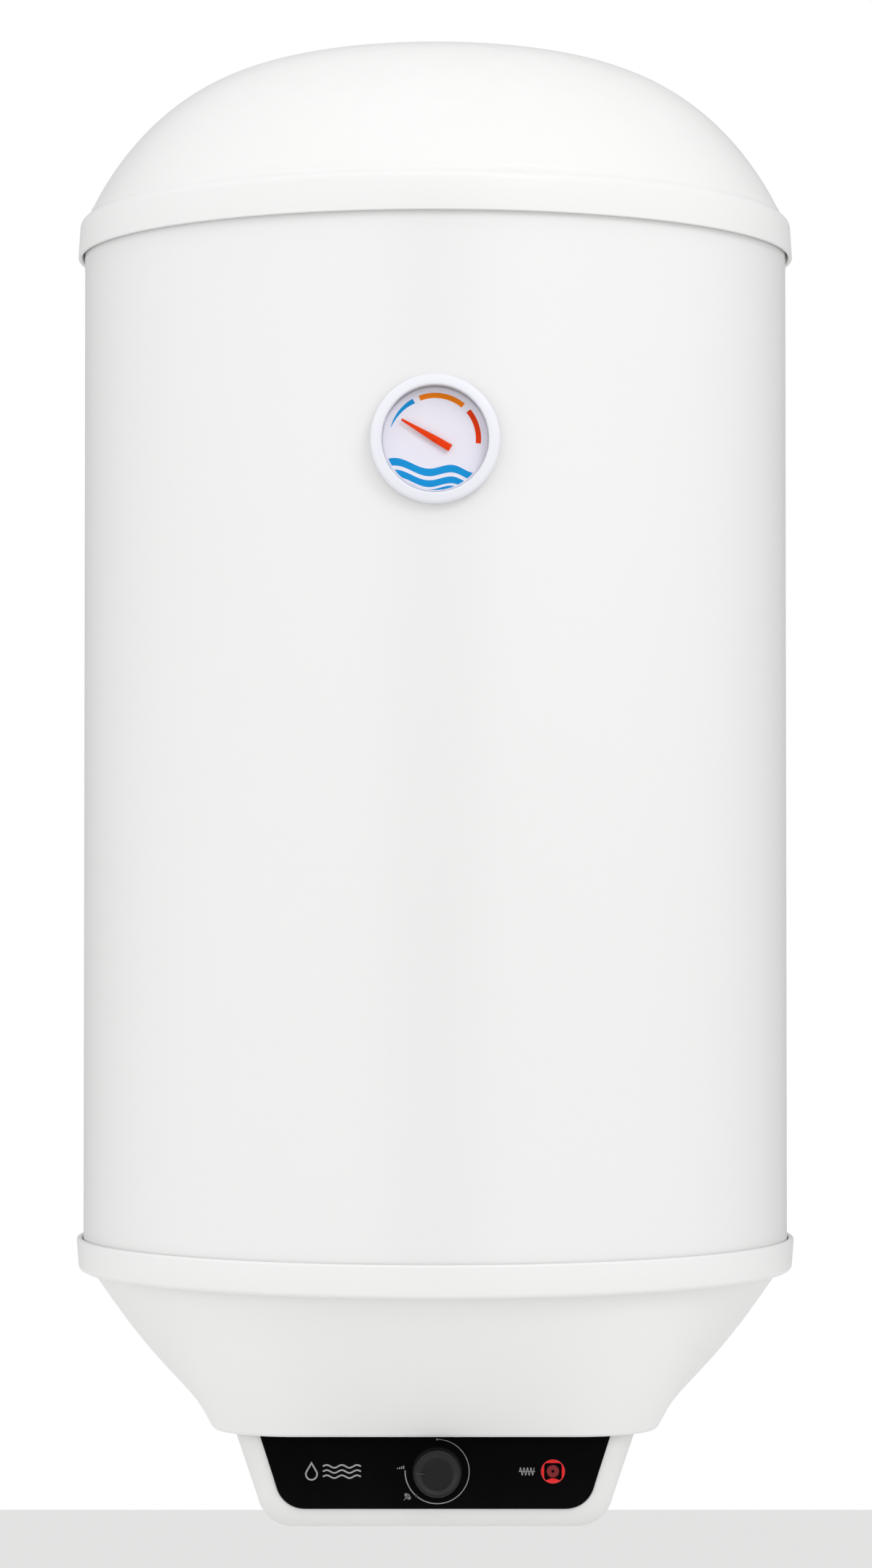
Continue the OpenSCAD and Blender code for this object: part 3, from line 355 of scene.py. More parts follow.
def place(piece, material, body="heater", slot=None, replaces=(), angle=30, flat=False):
    """Gives a finished piece its shading, its material and its body."""
    only(piece)
    bpy.ops.object.shade_smooth_by_angle(angle=radians(angle))
    if flat:
        modify(piece, "WEIGHTED_NORMAL", weight=80, keep_sharp=True)
    piece.data.materials.clear()
    piece.data.materials.append(material)
    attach(piece, body)
    if replaces:
        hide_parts(*replaces)
    return piece


def dress(piece, slot, *nodes, body="heater", flat=False):
    """Places a piece that takes a slot's finish and stands for these CAD nodes."""
    return place(piece, FINISH[slot], body, slot, nodes, flat=flat)


# ---------------------------------------------------------------- shader groups
def new_group(name, inputs, outputs):
    tree = bpy.data.node_groups.new(name, "ShaderNodeTree")
    for label, kind, value in inputs:
        socket = tree.interface.new_socket(label, in_out="INPUT", socket_type="NodeSocket" + kind)
        socket.default_value = value
    for label, kind in outputs:
        tree.interface.new_socket(label, in_out="OUTPUT", socket_type="NodeSocket" + kind)
    return tree, tree.nodes.new("NodeGroupInput"), tree.nodes.new("NodeGroupOutput")


def node(tree, kind, settings=None, **inputs):
    """Adds a node. Inputs are named by socket, spaces as underscores, and hold a value or an output to link."""
    made = tree.nodes.new("ShaderNode" + kind)
    for key, value in (settings or {}).items():
        setattr(made, key, value)
    for key, value in inputs.items():
        socket = made.inputs[int(key[1:])] if key[0] == "_" else made.inputs[key.replace("_", " ")]
        if isinstance(value, bpy.types.NodeSocket):
            tree.links.new(value, socket)
        else:
            socket.default_value = value
    return made


def maths(tree, operation, *values, clamp=False):
    """Arithmetic node, as its output."""
    made = node(tree, "Math", {"operation": operation, "use_clamp": clamp},
                **{f"_{i}": value for i, value in enumerate(values)})
    return made.outputs[0]


def spread_over(tree, value, start, end, to=(0.0, 1.0), eased=False):
    """A value stretched from one range to another, as an output."""
    kind = {"interpolation_type": "SMOOTHSTEP"} if eased else None
    return node(tree, "MapRange", kind, Value=value, From_Min=start, From_Max=end, To_Min=to[0],
                To_Max=to[1]).outputs[0]


def tone_group():
    """Slow drift of a colour towards a second one, as paint, plastic and castings have."""
    tree, given, result = new_group(
        "tone_drift",
        [("Color", "Color", (1, 1, 1, 1)), ("Second", "Color", (0.9, 0.9, 0.9, 1)),
         ("Scale", "Float", 8.0), ("Amount", "Float", 0.3)],
        [("Color", "Color")])
    where = node(tree, "TexCoord").outputs["Object"]
    cloud = node(tree, "TexNoise", Vector=where, Scale=given.outputs["Scale"], Detail=3.0, Roughness=0.6)
    share = spread_over(tree, cloud.outputs["Fac"], 0.3, 0.7)
    amount = maths(tree, "MULTIPLY", share, given.outputs["Amount"])
    mixed = node(tree, "Mix", {"data_type": "RGBA"}, _0=amount, _6=given.outputs["Color"], _7=given.outputs["Second"])
    tree.links.new(mixed.outputs[2], result.inputs["Color"])
    return tree


def grain_group():
    """Fine grain with a slow sway under it, as a normal."""
    tree, given, result = new_group(
        "fine_grain",
        [("Scale", "Float", 900.0), ("Depth", "Float", 0.00002),
         ("Sway Scale", "Float", 8.0), ("Sway Depth", "Float", 0.0002)],
        [("Normal", "Vector")])
    where = node(tree, "TexCoord").outputs["Object"]
    sway = node(tree, "TexNoise", Vector=where, Scale=given.outputs["Sway Scale"], Detail=1.0)
    grain = node(tree, "TexNoise", Vector=where, Scale=given.outputs["Scale"], Detail=2.0, Roughness=0.55)
    slow = node(tree, "Bump", Strength=1.0, Distance=given.outputs["Sway Depth"], Height=sway.outputs["Fac"])
    fine = node(tree, "Bump", Strength=1.0, Distance=given.outputs["Depth"], Height=grain.outputs["Fac"],
                Normal=slow.outputs["Normal"])
    tree.links.new(fine.outputs["Normal"], result.inputs["Normal"])
    return tree


def handling_group():
    """Roughness that wanders, with the faint wiped streaks of a handled surface."""
    tree, given, result = new_group(
        "handling_marks",
        [("Roughness", "Float", 0.4), ("Spread", "Float", 0.1), ("Scale", "Float", 14.0)],
        [("Roughness", "Float")])
    where = node(tree, "TexCoord").outputs["Object"]
    wiped = node(tree, "Mapping", Vector=where, Rotation=(0.3, 0.2, 0.5), Scale=(1.0, 1.0, 0.25))
    cloud = node(tree, "TexNoise", Vector=wiped.outputs[0], Scale=given.outputs["Scale"], Detail=5.0,
                 Roughness=0.65, Distortion=0.6)
    centred = maths(tree, "SUBTRACT", cloud.outputs["Fac"], 0.5)
    scaled = maths(tree, "MULTIPLY_ADD", centred, given.outputs["Spread"], given.outputs["Roughness"])
    tree.links.new(maths(tree, "MAXIMUM", scaled, SMOOTHEST), result.inputs["Roughness"])
    return tree


def wear_group():
    """Mask of rubbed outer edges, broken up by noise."""
    tree, given, result = new_group(
        "edge_wear", [("Amount", "Float", 0.5), ("Scale", "Float", 300.0)], [("Mask", "Float")])
    sharp = node(tree, "NewGeometry").outputs["Pointiness"]
    where = node(tree, "TexCoord").outputs["Object"]
    rubbed = spread_over(tree, sharp, 0.52, 0.6)
    patches = node(tree, "TexNoise", Vector=where, Scale=given.outputs["Scale"], Detail=3.0)
    broken = maths(tree, "MULTIPLY", rubbed, patches.outputs["Fac"])
    mask = maths(tree, "MULTIPLY", broken, given.outputs["Amount"], clamp=True)
    tree.links.new(mask, result.inputs["Mask"])
    return tree


def dust_group():
    """Mask of the thin dust that settles on faces that look up."""
    tree, given, result = new_group("settled_dust", [("Amount", "Float", 0.1)], [("Mask", "Float")])
    coords = node(tree, "TexCoord")
    upward = node(tree, "SeparateXYZ", Vector=coords.outputs["Normal"]).outputs["Z"]
    facing = spread_over(tree, upward, 0.35, 1.0)
    specks = node(tree, "TexNoise", Vector=coords.outputs["Object"], Scale=60.0, Detail=6.0, Roughness=0.7)
    both = maths(tree, "MULTIPLY", facing, spread_over(tree, specks.outputs["Fac"], 0.35, 0.75))
    tree.links.new(maths(tree, "MULTIPLY", both, given.outputs["Amount"]), result.inputs["Mask"])
    return tree


def cells_group():
    """Cells of a foam, or the spangle of zinc, as a mask."""
    tree, given, result = new_group(
        "cells", [("Scale", "Float", 400.0)], [("Mask", "Float")])
    where = node(tree, "TexCoord").outputs["Object"]
    cell = node(tree, "TexVoronoi", Vector=where, Scale=given.outputs["Scale"])
    tint = node(tree, "SeparateColor", Color=cell.outputs["Color"])
    tree.links.new(tint.outputs[0], result.inputs["Mask"])
    return tree


GROUPS = {tree.name: tree for tree in (
    tone_group(), grain_group(), handling_group(), wear_group(), dust_group(), cells_group())}


def use(tree, group, **inputs):
    return node(tree, "Group", {"node_tree": GROUPS[group]}, **inputs)


def finish(name, colour, second, roughness, tone=(8.0, 0.3), spread=(0.1, 14.0),
           grain=(900.0, 0.00002), sway=(8.0, 0.0), dust=0.0, wear=(0.0, (1, 1, 1)), cells=None, **sockets):
    """Material of one finish. Constants go straight onto the shader, and what varies comes from the groups."""
    material = bpy.data.materials.new(name)
    material.use_nodes = True
    tree = material.node_tree
    shader = tree.nodes["Principled BSDF"]
    for socket, value in sockets.items():
        shader.inputs[socket.replace("_", " ")].default_value = value
    tint = use(tree, "tone_drift", Color=(*colour, 1), Second=(*second, 1), Scale=tone[0],
               Amount=tone[1]).outputs["Color"]
    layers = []
    if cells:
        layers.append((use(tree, "cells", Scale=cells[0]), [c * cells[1] for c in colour]))
    if dust:
        layers.append((use(tree, "settled_dust", Amount=dust), DUST))
    if wear[0]:
        layers.append((use(tree, "edge_wear", Amount=wear[0]), wear[1]))
    for group, over in layers:
        tint = node(tree, "Mix", {"data_type": "RGBA"}, _0=group.outputs["Mask"], _6=tint,
                    _7=(*over, 1)).outputs[2]
    tree.links.new(tint, shader.inputs["Base Color"])
    rough = use(tree, "handling_marks", Roughness=roughness, Spread=spread[0], Scale=spread[1])
    tree.links.new(rough.outputs[0], shader.inputs["Roughness"])
    bumps = use(tree, "fine_grain", Scale=grain[0], Depth=grain[1], Sway_Scale=sway[0], Sway_Depth=sway[1])
    tree.links.new(bumps.outputs[0], shader.inputs["Normal"])
    return material


def glass(name, colour):
    """Clear moulded pane: it bends and mirrors light for the eye, and lets lamps through for shadows."""
    material = finish(name, colour, colour, 0.03, tone=(30.0, 0.2), spread=(0.03, 20.0),
                      grain=(300.0, 0.000001), Transmission_Weight=1.0, IOR=1.3)
    tree = material.node_tree
    shader = tree.nodes["Principled BSDF"]
    clear = node(tree, "BsdfTransparent", Color=(*colour, 1))
    path = node(tree, "LightPath")
    mixed = node(tree, "MixShader", _0=path.outputs["Is Shadow Ray"], _1=shader.outputs[0], _2=clear.outputs[0])
    tree.links.new(mixed.outputs[0], tree.nodes["Material Output"].inputs["Surface"])
    return material


# ---------------------------------------------------------------- finishes
SLEEVE = {"tone": (120.0, 0.5), "spread": (0.12, 90.0), "grain": (2000.0, 0.00001)}
MOULDED = {"tone": (50.0, 0.5), "spread": (0.12, 70.0), "grain": (1500.0, 0.00002), "dust": 0.05}
FINISH = {
    "white_jacket": finish("white_enamel", (0.86, 0.86, 0.858), (0.845, 0.845, 0.838), 0.34,
                           tone=(5.0, 0.4), spread=(0.1, 9.0), grain=(700.0, 0.000012), sway=(7.0, 0.0004),
                           dust=0.05, Coat_Weight=0.15, Coat_Roughness=0.2),
    "white_plastic": finish("white_moulding", (0.88, 0.878, 0.876), (0.865, 0.862, 0.852), 0.38,
                            tone=(6.0, 0.4), spread=(0.12, 12.0), grain=(1400.0, 0.00001),
                            sway=(10.0, 0.0002), dust=0.06),
    "grey_white_plastic": finish("box_moulding", (0.80, 0.80, 0.792), (0.785, 0.783, 0.77), 0.44,
                                 tone=(9.0, 0.4), spread=(0.12, 16.0), grain=(1800.0, 0.000018),
                                 sway=(14.0, 0.0001), dust=0.05),
    "black_gloss": finish("piano_black", (0.0022, 0.0021, 0.0025), (0.0035, 0.0034, 0.0038), 0.07,
                          tone=(20.0, 0.5), spread=(0.06, 30.0), grain=(150.0, 0.0000015),
                          sway=(20.0, 0.00001), Specular_IOR_Level=0.25),
    "black_matte": finish("knob_moulding", (0.0075, 0.0075, 0.008), (0.011, 0.011, 0.0115), 0.3,
                          tone=(60.0, 0.5), spread=(0.1, 90.0), grain=(2600.0, 0.00001),
                          wear=(0.5, (0.03, 0.03, 0.031)), Specular_IOR_Level=0.33),
    "red_lens": finish("red_lens", (0.80, 0.018, 0.022), (0.70, 0.012, 0.015), 0.22,
                       tone=(160.0, 0.5), spread=(0.06, 120.0), grain=(500.0, 0.000003),
                       Coat_Weight=0.5, Coat_Roughness=0.08),
    "lamp_red": finish("lamp_red", (0.22, 0.012, 0.017), (0.16, 0.008, 0.012), 0.3,
                       tone=(300.0, 0.6), spread=(0.1, 200.0), grain=(900.0, 0.00001)),
    "dial_face": finish("dial_face", (0.92, 0.90, 0.985), (0.90, 0.88, 0.975), 0.6,
                        tone=(40.0, 0.4), spread=(0.08, 60.0), grain=(2500.0, 0.000004),
                        Specular_IOR_Level=0.1),
    "pointer_orange": finish("pointer_orange", (0.90, 0.046, 0.002), (0.86, 0.058, 0.003), 0.55,
                             tone=(90.0, 0.6), spread=(0.1, 120.0), grain=(1800.0, 0.000008),
                             Specular_IOR_Level=0.1),
    "zinc_steel": finish("zinc_plate", (0.62, 0.63, 0.64), (0.50, 0.51, 0.52), 0.34,
                         tone=(25.0, 0.5), spread=(0.2, 40.0), grain=(1200.0, 0.00001),
                         wear=(0.6, (0.8, 0.8, 0.8)), cells=(160.0, 0.86), Metallic=1.0),
    "enamel": finish("glass_enamel", (0.03, 0.045, 0.09), (0.022, 0.034, 0.07), 0.22,
                     tone=(30.0, 0.6), spread=(0.12, 40.0), grain=(260.0, 0.00006), Coat_Weight=0.4),
    "foam": finish("foam", (0.75, 0.66, 0.38), (0.66, 0.55, 0.28), 0.85, tone=(18.0, 0.6),
                   spread=(0.1, 40.0), grain=(900.0, 0.0003), cells=(700.0, 0.8)),
    "copper": finish("copper", (0.72, 0.35, 0.20), (0.50, 0.22, 0.12), 0.36, tone=(60.0, 0.7),
                     spread=(0.2, 80.0), grain=(1500.0, 0.00001), wear=(0.4, (0.85, 0.5, 0.35)), Metallic=1.0),
    "brass": finish("brass", (0.70, 0.52, 0.22), (0.55, 0.38, 0.14), 0.3, tone=(80.0, 0.6),
                    spread=(0.16, 90.0), grain=(1600.0, 0.000008), wear=(0.5, (0.85, 0.7, 0.4)), Metallic=1.0),
    "ivory_plastic": finish("ivory_thermoset", (0.78, 0.74, 0.62), (0.72, 0.67, 0.52), 0.5,
                            tone=(50.0, 0.5), spread=(0.12, 60.0), grain=(1500.0, 0.00002)),
    "rubber_black": finish("moulded_rubber", (0.022, 0.022, 0.023), (0.04, 0.04, 0.04), 0.7,
                           tone=(70.0, 0.5), spread=(0.2, 60.0), grain=(1300.0, 0.00004), dust=0.3,
                           wear=(0.6, (0.09, 0.09, 0.09))),
    "magnesium": finish("cast_magnesium", (0.60, 0.60, 0.60), (0.42, 0.42, 0.43), 0.55, tone=(70.0, 0.7),
                        spread=(0.2, 60.0), grain=(900.0, 0.00008), Metallic=1.0),
    "red_plastic": finish("red_moulding", (0.62, 0.02, 0.015), (0.50, 0.015, 0.012), 0.42, **MOULDED),
    "blue_plastic": finish("blue_moulding", (0.02, 0.12, 0.55), (0.015, 0.09, 0.42), 0.42, **MOULDED),
    "wire_brown": finish("brown_sleeve", (0.20, 0.08, 0.03), (0.15, 0.055, 0.02), 0.45, **SLEEVE),
    "wire_blue": finish("blue_sleeve", (0.05, 0.15, 0.50), (0.035, 0.11, 0.40), 0.45, **SLEEVE),
    "wire_green": finish("green_sleeve", (0.35, 0.55, 0.05), (0.55, 0.55, 0.04), 0.45,
                         **{**SLEEVE, "tone": (160.0, 0.9)}),
    "clear_lens": glass("clear_lens", (1.0, 1.0, 1.0)),
}
BEZEL_WHITE = finish("bezel_moulding", (0.845, 0.845, 0.91), (0.83, 0.83, 0.90), 0.3,
                     tone=(30.0, 0.4), spread=(0.1, 40.0), grain=(1500.0, 0.000008),
                     wear=(0.2, (0.93, 0.93, 0.97)))
SCREEN = {"tone": (300.0, 0.6), "spread": (0.1, 300.0), "grain": (3500.0, 0.000004)}
SCREEN_GREY = finish("screen_grey", (0.33, 0.33, 0.335), (0.28, 0.28, 0.285), 0.55, **SCREEN)
INK = {"tone": (120.0, 0.5), "spread": (0.1, 200.0), "grain": (3000.0, 0.000004), "Specular_IOR_Level": 0.1}
# Light grey of the strip on the knob rib's upper half: a painted highlight where light from above catches the rib's
# top edge.
RIB_HIGHLIGHT_GREY = finish("rib_painted_highlight", (0.075, 0.075, 0.077), (0.06, 0.06, 0.061), 0.5, **SCREEN)
DIAL_BLUE = finish("dial_blue", (0.008, 0.31, 0.72), (0.010, 0.33, 0.76), 0.6, **INK)
DIAL_ORANGE = finish("dial_orange", (0.98, 0.235, 0.006), (0.95, 0.255, 0.008), 0.6, **INK)
DIAL_RED = finish("dial_red", (0.89, 0.046, 0.003), (0.85, 0.055, 0.004), 0.6, **INK)


# ---------------------------------------------------------------- camera, light and floor
def make_camera():
    data = bpy.data.cameras.new("camera")
    data.lens = 101.4
    data.sensor_width = 36
    camera = bpy.data.objects.new("camera", data)
    bpy.context.scene.collection.objects.link(camera)
    camera.location = (0.0005, -3.0837, -0.3299)
    camera.rotation_euler = (radians(91.27), 0, 0)
    bpy.context.scene.camera = camera


def make_world():
    """Soft white room: brightest in front and above, darker behind, and dark just round the camera."""
    world = bpy.data.worlds.new("room")
    bpy.context.scene.world = world
    world.use_nodes = True
    tree = world.node_tree
    tree.nodes.clear()
    toward = node(tree, "TexCoord").outputs["Generated"]
    parts = node(tree, "SeparateXYZ", Vector=toward)
    across, away, upward = (parts.outputs[axis] for axis in "XYZ")
    depth = spread_over(tree, away, -0.12, 0.92, (1.25, 0.30), eased=True)
    height = spread_over(tree, upward, -1.0, 1.0, (0.22, -0.26))
    side = spread_over(tree, across, -1.0, 1.0, (0.07, -0.07))
    sky = spread_over(tree, upward, 0.15, 0.75, (0.0, 0.98), eased=True)
    lighter = maths(tree, "MAXIMUM", depth, sky)
    room = maths(tree, "ADD", maths(tree, "ADD", lighter, height), side)
    card = spread_over(tree, away, -0.98, -0.95, (0.02, 1.0), eased=True)
    shine = node(tree, "Background", Color=(1, 1, 1, 1), Strength=maths(tree, "MULTIPLY", room, card))
    seen = node(tree, "Background", Color=(1, 1, 1, 1), Strength=1.0)
    path = node(tree, "LightPath")
    mixed = node(tree, "MixShader", _0=path.outputs["Is Camera Ray"], _1=shine.outputs[0], _2=seen.outputs[0])
    out = node(tree, "OutputWorld")
    tree.links.new(mixed.outputs[0], out.inputs["Surface"])


def make_light(name, place, aim, size, power):
    data = bpy.data.lights.new(name, "AREA")
    data.size = size
    data.energy = power
    lamp = bpy.data.objects.new(name, data)
    bpy.context.scene.collection.objects.link(lamp)
    lamp.location = place
    lamp.rotation_euler = (Vector(aim) - Vector(place)).to_track_quat("-Z", "Y").to_euler()


def make_floor():
    deselect()
    bpy.ops.mesh.primitive_plane_add(size=16, location=(0, 0, -1.9))
    floor = bpy.context.object
    floor.name = "floor"
    floor.data.materials.append(finish("floor_paint", (0.9, 0.9, 0.895), (0.88, 0.88, 0.872), 0.7,
                                       tone=(1.5, 0.4), grain=(80.0, 0.0002)))


make_camera()
make_world()
make_light("key", (0.9, -1.9, 1.1), (0, -0.3, -0.1), 0.6, 5.5)
make_floor()
bpy.context.scene.view_settings.view_transform = "Standard"


# ---------------------------------------------------------------- jacket and caps
def make_jacket():
    on_axis = (0, AXIS_Y, 0)
    inner = JACKET_R - JACKET_T
    band = 36 * MM
    heights = [JACKET_BOTTOM, JACKET_BOTTOM + 40 * MM, GAUGE_Z - band, GAUGE_Z + band, JACKET_TOP - 40 * MM,
               JACKET_TOP]
    outline = [(JACKET_R, z) for z in heights] + [(inner, z) for z in reversed(heights)]
    jacket = lathe("outer_jacket_sheet", outline + outline[:1], on_axis, steps=256)
    hole_r = GAUGE_IN + 1.5 * MM
    carve(jacket, drill(hole_r, (0, AXIS_Y - JACKET_R + 20 * MM, GAUGE_Z), 40 * MM, FRONT))
    arm_lo, arm_hi = low("wall_bracket"), high("wall_bracket")
    arm_x = 70 * MM
    slack = 2.5 * MM
    for side in (-1, 1):
        carve(jacket, block("cutter", (side * arm_x - slack, -60 * MM, arm_lo.z - MM),
                            (side * arm_x + slack, 0, arm_hi.z + MM)))
    seam_angle = radians(52)
    seam_lo, seam_hi = BOTTOM_MOUTH + 2 * MM, TOP_MOUTH - 2 * MM
    seam = block("seam", (JACKET_R - MM, -6 * MM, seam_lo), (JACKET_R + 0.65 * MM, 6 * MM, seam_hi))
    fold = block("fold", (JACKET_R, -2 * MM, seam_lo), (JACKET_R + 0.68 * MM, 2 * MM, seam_hi))
    soften(seam, 0.5 * MM)
    soften(fold, 0.3 * MM)
    seam = join("seam", [seam, fold])
    seam.rotation_euler = (0, 0, seam_angle)
    seam.location = on_axis
    settle(seam, "seam")
    jacket = join("outer_jacket_sheet", [jacket, seam])
    dress(jacket, "white_jacket", "outer_jacket")


def dome_points(r, h, steps=48):
    """From the foot to the crown, closer together near the crown."""
    turns = [pi / 2 * sin(pi / 2 * i / steps) for i in range(steps + 1)]
    return [(r * max(cos(t), 0) ** (2 / DOME_SIDE), h * sin(t) ** (2 / DOME_CROWN)) for t in turns]


def make_top_cap():
    root = SKIRT_R - SKIRT_DRAFT
    edge = 0.7 * MM
    outer = [(x, z + DOME_FOOT) for x, z in dome_points(DOME_R, DOME_H)]
    inner = [(x, z + DOME_FOOT) for x, z in dome_points(DOME_R - CAP_T, DOME_H - CAP_T)]
    outline = inner[::-1] + [(DOME_R - CAP_T, SKIRT_SEAT), (SKIRT_IN, SKIRT_SEAT)]
    outline += arc(SKIRT_IN + edge, edge, edge, 180, 270, 4) + arc(SKIRT_R - edge, edge, edge, 270, 360, 4)
    outline += arc(root - SHOULDER_R, SKIRT_H - MM, SHOULDER_R, 0, 62, 8)
    sweep = 7 * MM
    outline += arc(root - SHOULDER_R + (SHOULDER_R + sweep) * cos(radians(62)),
                   SKIRT_H - MM + (SHOULDER_R + sweep) * sin(radians(62)), sweep, 242, 188, 8)
    outline += [(x, z) for x, z in outer if z > outline[-1][1] + 0.4 * MM]
    cap = lathe("top_cap_moulding", outline, (0, AXIS_Y, TOP_MOUTH), steps=256)
    dress(cap, "white_plastic", "top_cap")


def round_rect_reach(a, half_w, half_d, r):
    """Distance from the centre to the edge of a rounded rectangle, in the direction a."""
    c, s = abs(cos(a)), abs(sin(a))
    cw, cd = half_w - r, half_d - r
    if s * half_w <= c * cd:
        return half_w / c
    if c * half_d <= s * cw:
        return half_d / s
    m = c * cw + s * cd
    return m + sqrt(m * m - cw * cw - cd * cd + r * r)


def bowl_ring(share, r, half, corner, z, columns=180):
    """Level ring between a circle, at share 0, and a rounded rectangle, at share 1."""
    ring = []
    for j in range(columns):
        a = FULL_TURN * j / columns
        reach = (1 - share) * r + share * round_rect_reach(a, half[0], half[1], corner)
        ring.append((reach * cos(a), AXIS_Y + reach * sin(a), z))
    return ring


def bowl_share(t):
    return BOWL_STRAIGHT * t + (1 - BOWL_STRAIGHT) * t ** BOWL_POWER


def make_bottom_cap():
    def circle(r, z):
        return bowl_ring(0, r, BOWL_HALF, BOWL_CORNER, BOTTOM_MOUTH + z)

    def shrunk(by, z):
        return bowl_ring(1, 0, (BOWL_HALF[0] - by, BOWL_HALF[1] - by), BOWL_CORNER - by, z)

    steps = 18
    inner_edge, edge = 0.5 * MM, 1.5 * MM
    mouth_r = SKIRT_IN - 0.6 * MM
    lip_r = 1.4 * MM
    root = SKIRT_R - SKIRT_DRAFT
    skirt = arc(mouth_r + inner_edge, -inner_edge, inner_edge, 180, 90, 3)
    skirt += arc(SKIRT_R - edge, -edge, edge, 90, 0, 6)
    skirt += arc(root - FOOT_R, FOOT_R + 0.1 * MM - BOWL_TOP, FOOT_R, 0, -80, 8)
    skirt += arc(BOWL_R + 0.8 * MM, -BOWL_TOP - 0.6 * MM, 0.8 * MM, 100, 172, 4)
    rings = [circle(SKIRT_IN, -SKIRT_SEAT), circle(SKIRT_IN, -4 * MM)] + [circle(r, z) for r, z in skirt]
    last = 1 - lip_r / BOWL_H
    for i in range(1, steps + 1):
        t = last * i / steps
        rings.append(bowl_ring(bowl_share(t), BOWL_R, BOWL_HALF, BOWL_CORNER,
                               BOTTOM_MOUTH - BOWL_TOP - t * BOWL_H))
    for i in range(1, 6):
        turn = radians(90 * i / 5)
        rings.append(shrunk(lip_r * (1 - cos(turn)), BOWL_EDGE + lip_r * (1 - sin(turn))))
    lip = [(LIP_HALF, LIP_CORNER, 0.0), (LIP_HALF, LIP_CORNER, CAP_T)]
    rings += [bowl_ring(1, 0, half, corner, BOWL_EDGE + dz) for half, corner, dz in lip]
    inner_half = (BOWL_HALF[0] - BOWL_WALL, BOWL_HALF[1] - CAP_T - 0.3 * MM)
    for i in range(steps, -1, -1):
        t = i / steps
        rise = CAP_T if i == steps else 0
        rings.append(bowl_ring(bowl_share(t), BOWL_R - BOWL_WALL, inner_half, BOWL_CORNER - CAP_T,
                               BOTTOM_MOUTH - BOWL_TOP - t * BOWL_H + rise))
    rings += [circle(BOWL_R - BOWL_WALL, -SKIRT_SEAT), rings[0]]
    cap = ring_stack("bottom_cap_moulding", rings)
    dress(cap, "white_plastic", "bottom_cap")


# ---------------------------------------------------------------- control box
def box_ring(half_w, centre_w, front, back, reach_w, reach_d, z, per_corner=12):
    """Level ring of the control box: four corners of an ellipse, set out from their own centres."""
    ring = []
    for quarter, (sx, end) in enumerate(((1, back), (-1, back), (-1, front), (1, front))):
        for i in range(per_corner + 1):
            a = pi / 2 * (quarter + i / per_corner)
            x, y = reach_w * cos(a), reach_d * sin(a)
            ring.append((sx * centre_w + x, end + y, z))
    return ring


def blended_ring(a, b, t):
    return [tuple((1 - t) * p + t * q for p, q in zip(u, v)) for u, v in zip(a, b)]


def make_service_cover():
    drop = BOX_TOP - BOX_BOTTOM
    low_half = BOX_HALF - BOX_LEAN * drop + BOX_BULGE
    top = box_ring(BOX_HALF, BOX_HALF - BOX_CORNER, BOX_FRONT + BOX_CORNER, BOX_BACK - BOX_CORNER,
                   BOX_CORNER, BOX_CORNER, BOX_TOP)

    def low_ring(turn):
        """Ring of the rounded lower edge: turn 0 is its upper end, 90 the floor."""
        share = cos(radians(turn))
        return box_ring(low_half, low_half - BOX_ROUND, BOX_FRONT + BOX_EDGE, BOX_BACK - BOX_EDGE,
                        BOX_ROUND * share, BOX_EDGE * share,
                        BOX_BOTTOM + BOX_ROUND * (1 - sin(radians(turn))))

    lean = 12
    shoulder = low_ring(lean)
    rings = [blended_ring(top, shoulder, i / 6) for i in range(7)]
    rings += [low_ring(turn) for turn in range(lean + 6, 90, 6)] + [low_ring(88), low_ring(89.9)]
    cover = ring_stack("service_cover_moulding", rings, fill_last=True)
    modify(cover, "SOLIDIFY", thickness=BOX_T, offset=-1)
    recess = plate("cutter", panel_outline(0.35 * MM), PANEL_BACK, 10 * MM)
    bore = drill(6 * MM, (KNOB_X, BOX_FRONT + 10 * MM, CONTROL_Z), 20 * MM, FRONT)
    window = drill(6.6 * MM, (LAMP_X, BOX_FRONT + 10 * MM, CONTROL_Z), 20 * MM, FRONT)
    gland = middle("cable_gland")
    gland_hole = drill(8.3 * MM, (gland.x, gland.y, BOX_BOTTOM - 5 * MM), 12 * MM, UP)
    carve(cover, recess, bore, window, gland_hole)
    vent_half, vent_w, vent_pitch, vent_count = 17 * MM, 2.6 * MM, 7 * MM, 9
    vents = []
    for i in range(vent_count):
        y = BOX_FRONT + 60 * MM + vent_pitch * i
        vents.append(block("cutter", (-vent_half, y, BOX_BOTTOM - MM),
                           (vent_half, y + vent_w, BOX_BOTTOM + 4 * MM)))
    carve(cover, *vents)
    dress(cover, "grey_white_plastic", "service_cover")


def panel_outline(grow=0.0, steps=14):
    """Front panel in X and Z: a wide top, leaning sides and rounded lower corners."""
    top, half, bottom = PANEL_TOP, PANEL_HALF + grow, PANEL_BOTTOM - grow
    lean = atan(PANEL_LEAN)
    r = PANEL_CORNER
    side_x = half - PANEL_LEAN * (BOWL_EDGE + 0.2 * MM - bottom - r * (1 - sin(lean)))
    right = arc(side_x - r * cos(lean), bottom + r, r, -lean * 180 / pi, -90, steps)
    return [(half, top)] + right + [(-x, z) for x, z in reversed(right)] + [(-half, top)]


def make_front_panel():
    panel = plate("front_panel_plate", panel_outline(), PANEL_BACK, PANEL_BACK - PANEL_FRONT)
    shaft_hole = drill(5.5 * MM, (KNOB_X, PANEL_BACK + 5 * MM, CONTROL_Z), 12 * MM, FRONT)
    lamp_hole = drill(7.3 * MM, (LAMP_X, PANEL_BACK + 5 * MM, CONTROL_Z), 12 * MM, FRONT, steps=72)
    carve(panel, shaft_hole, lamp_hole)
    soften(panel, 0.25 * MM, segments=3)
    dress(panel, "black_gloss", "front_panel", flat=True)


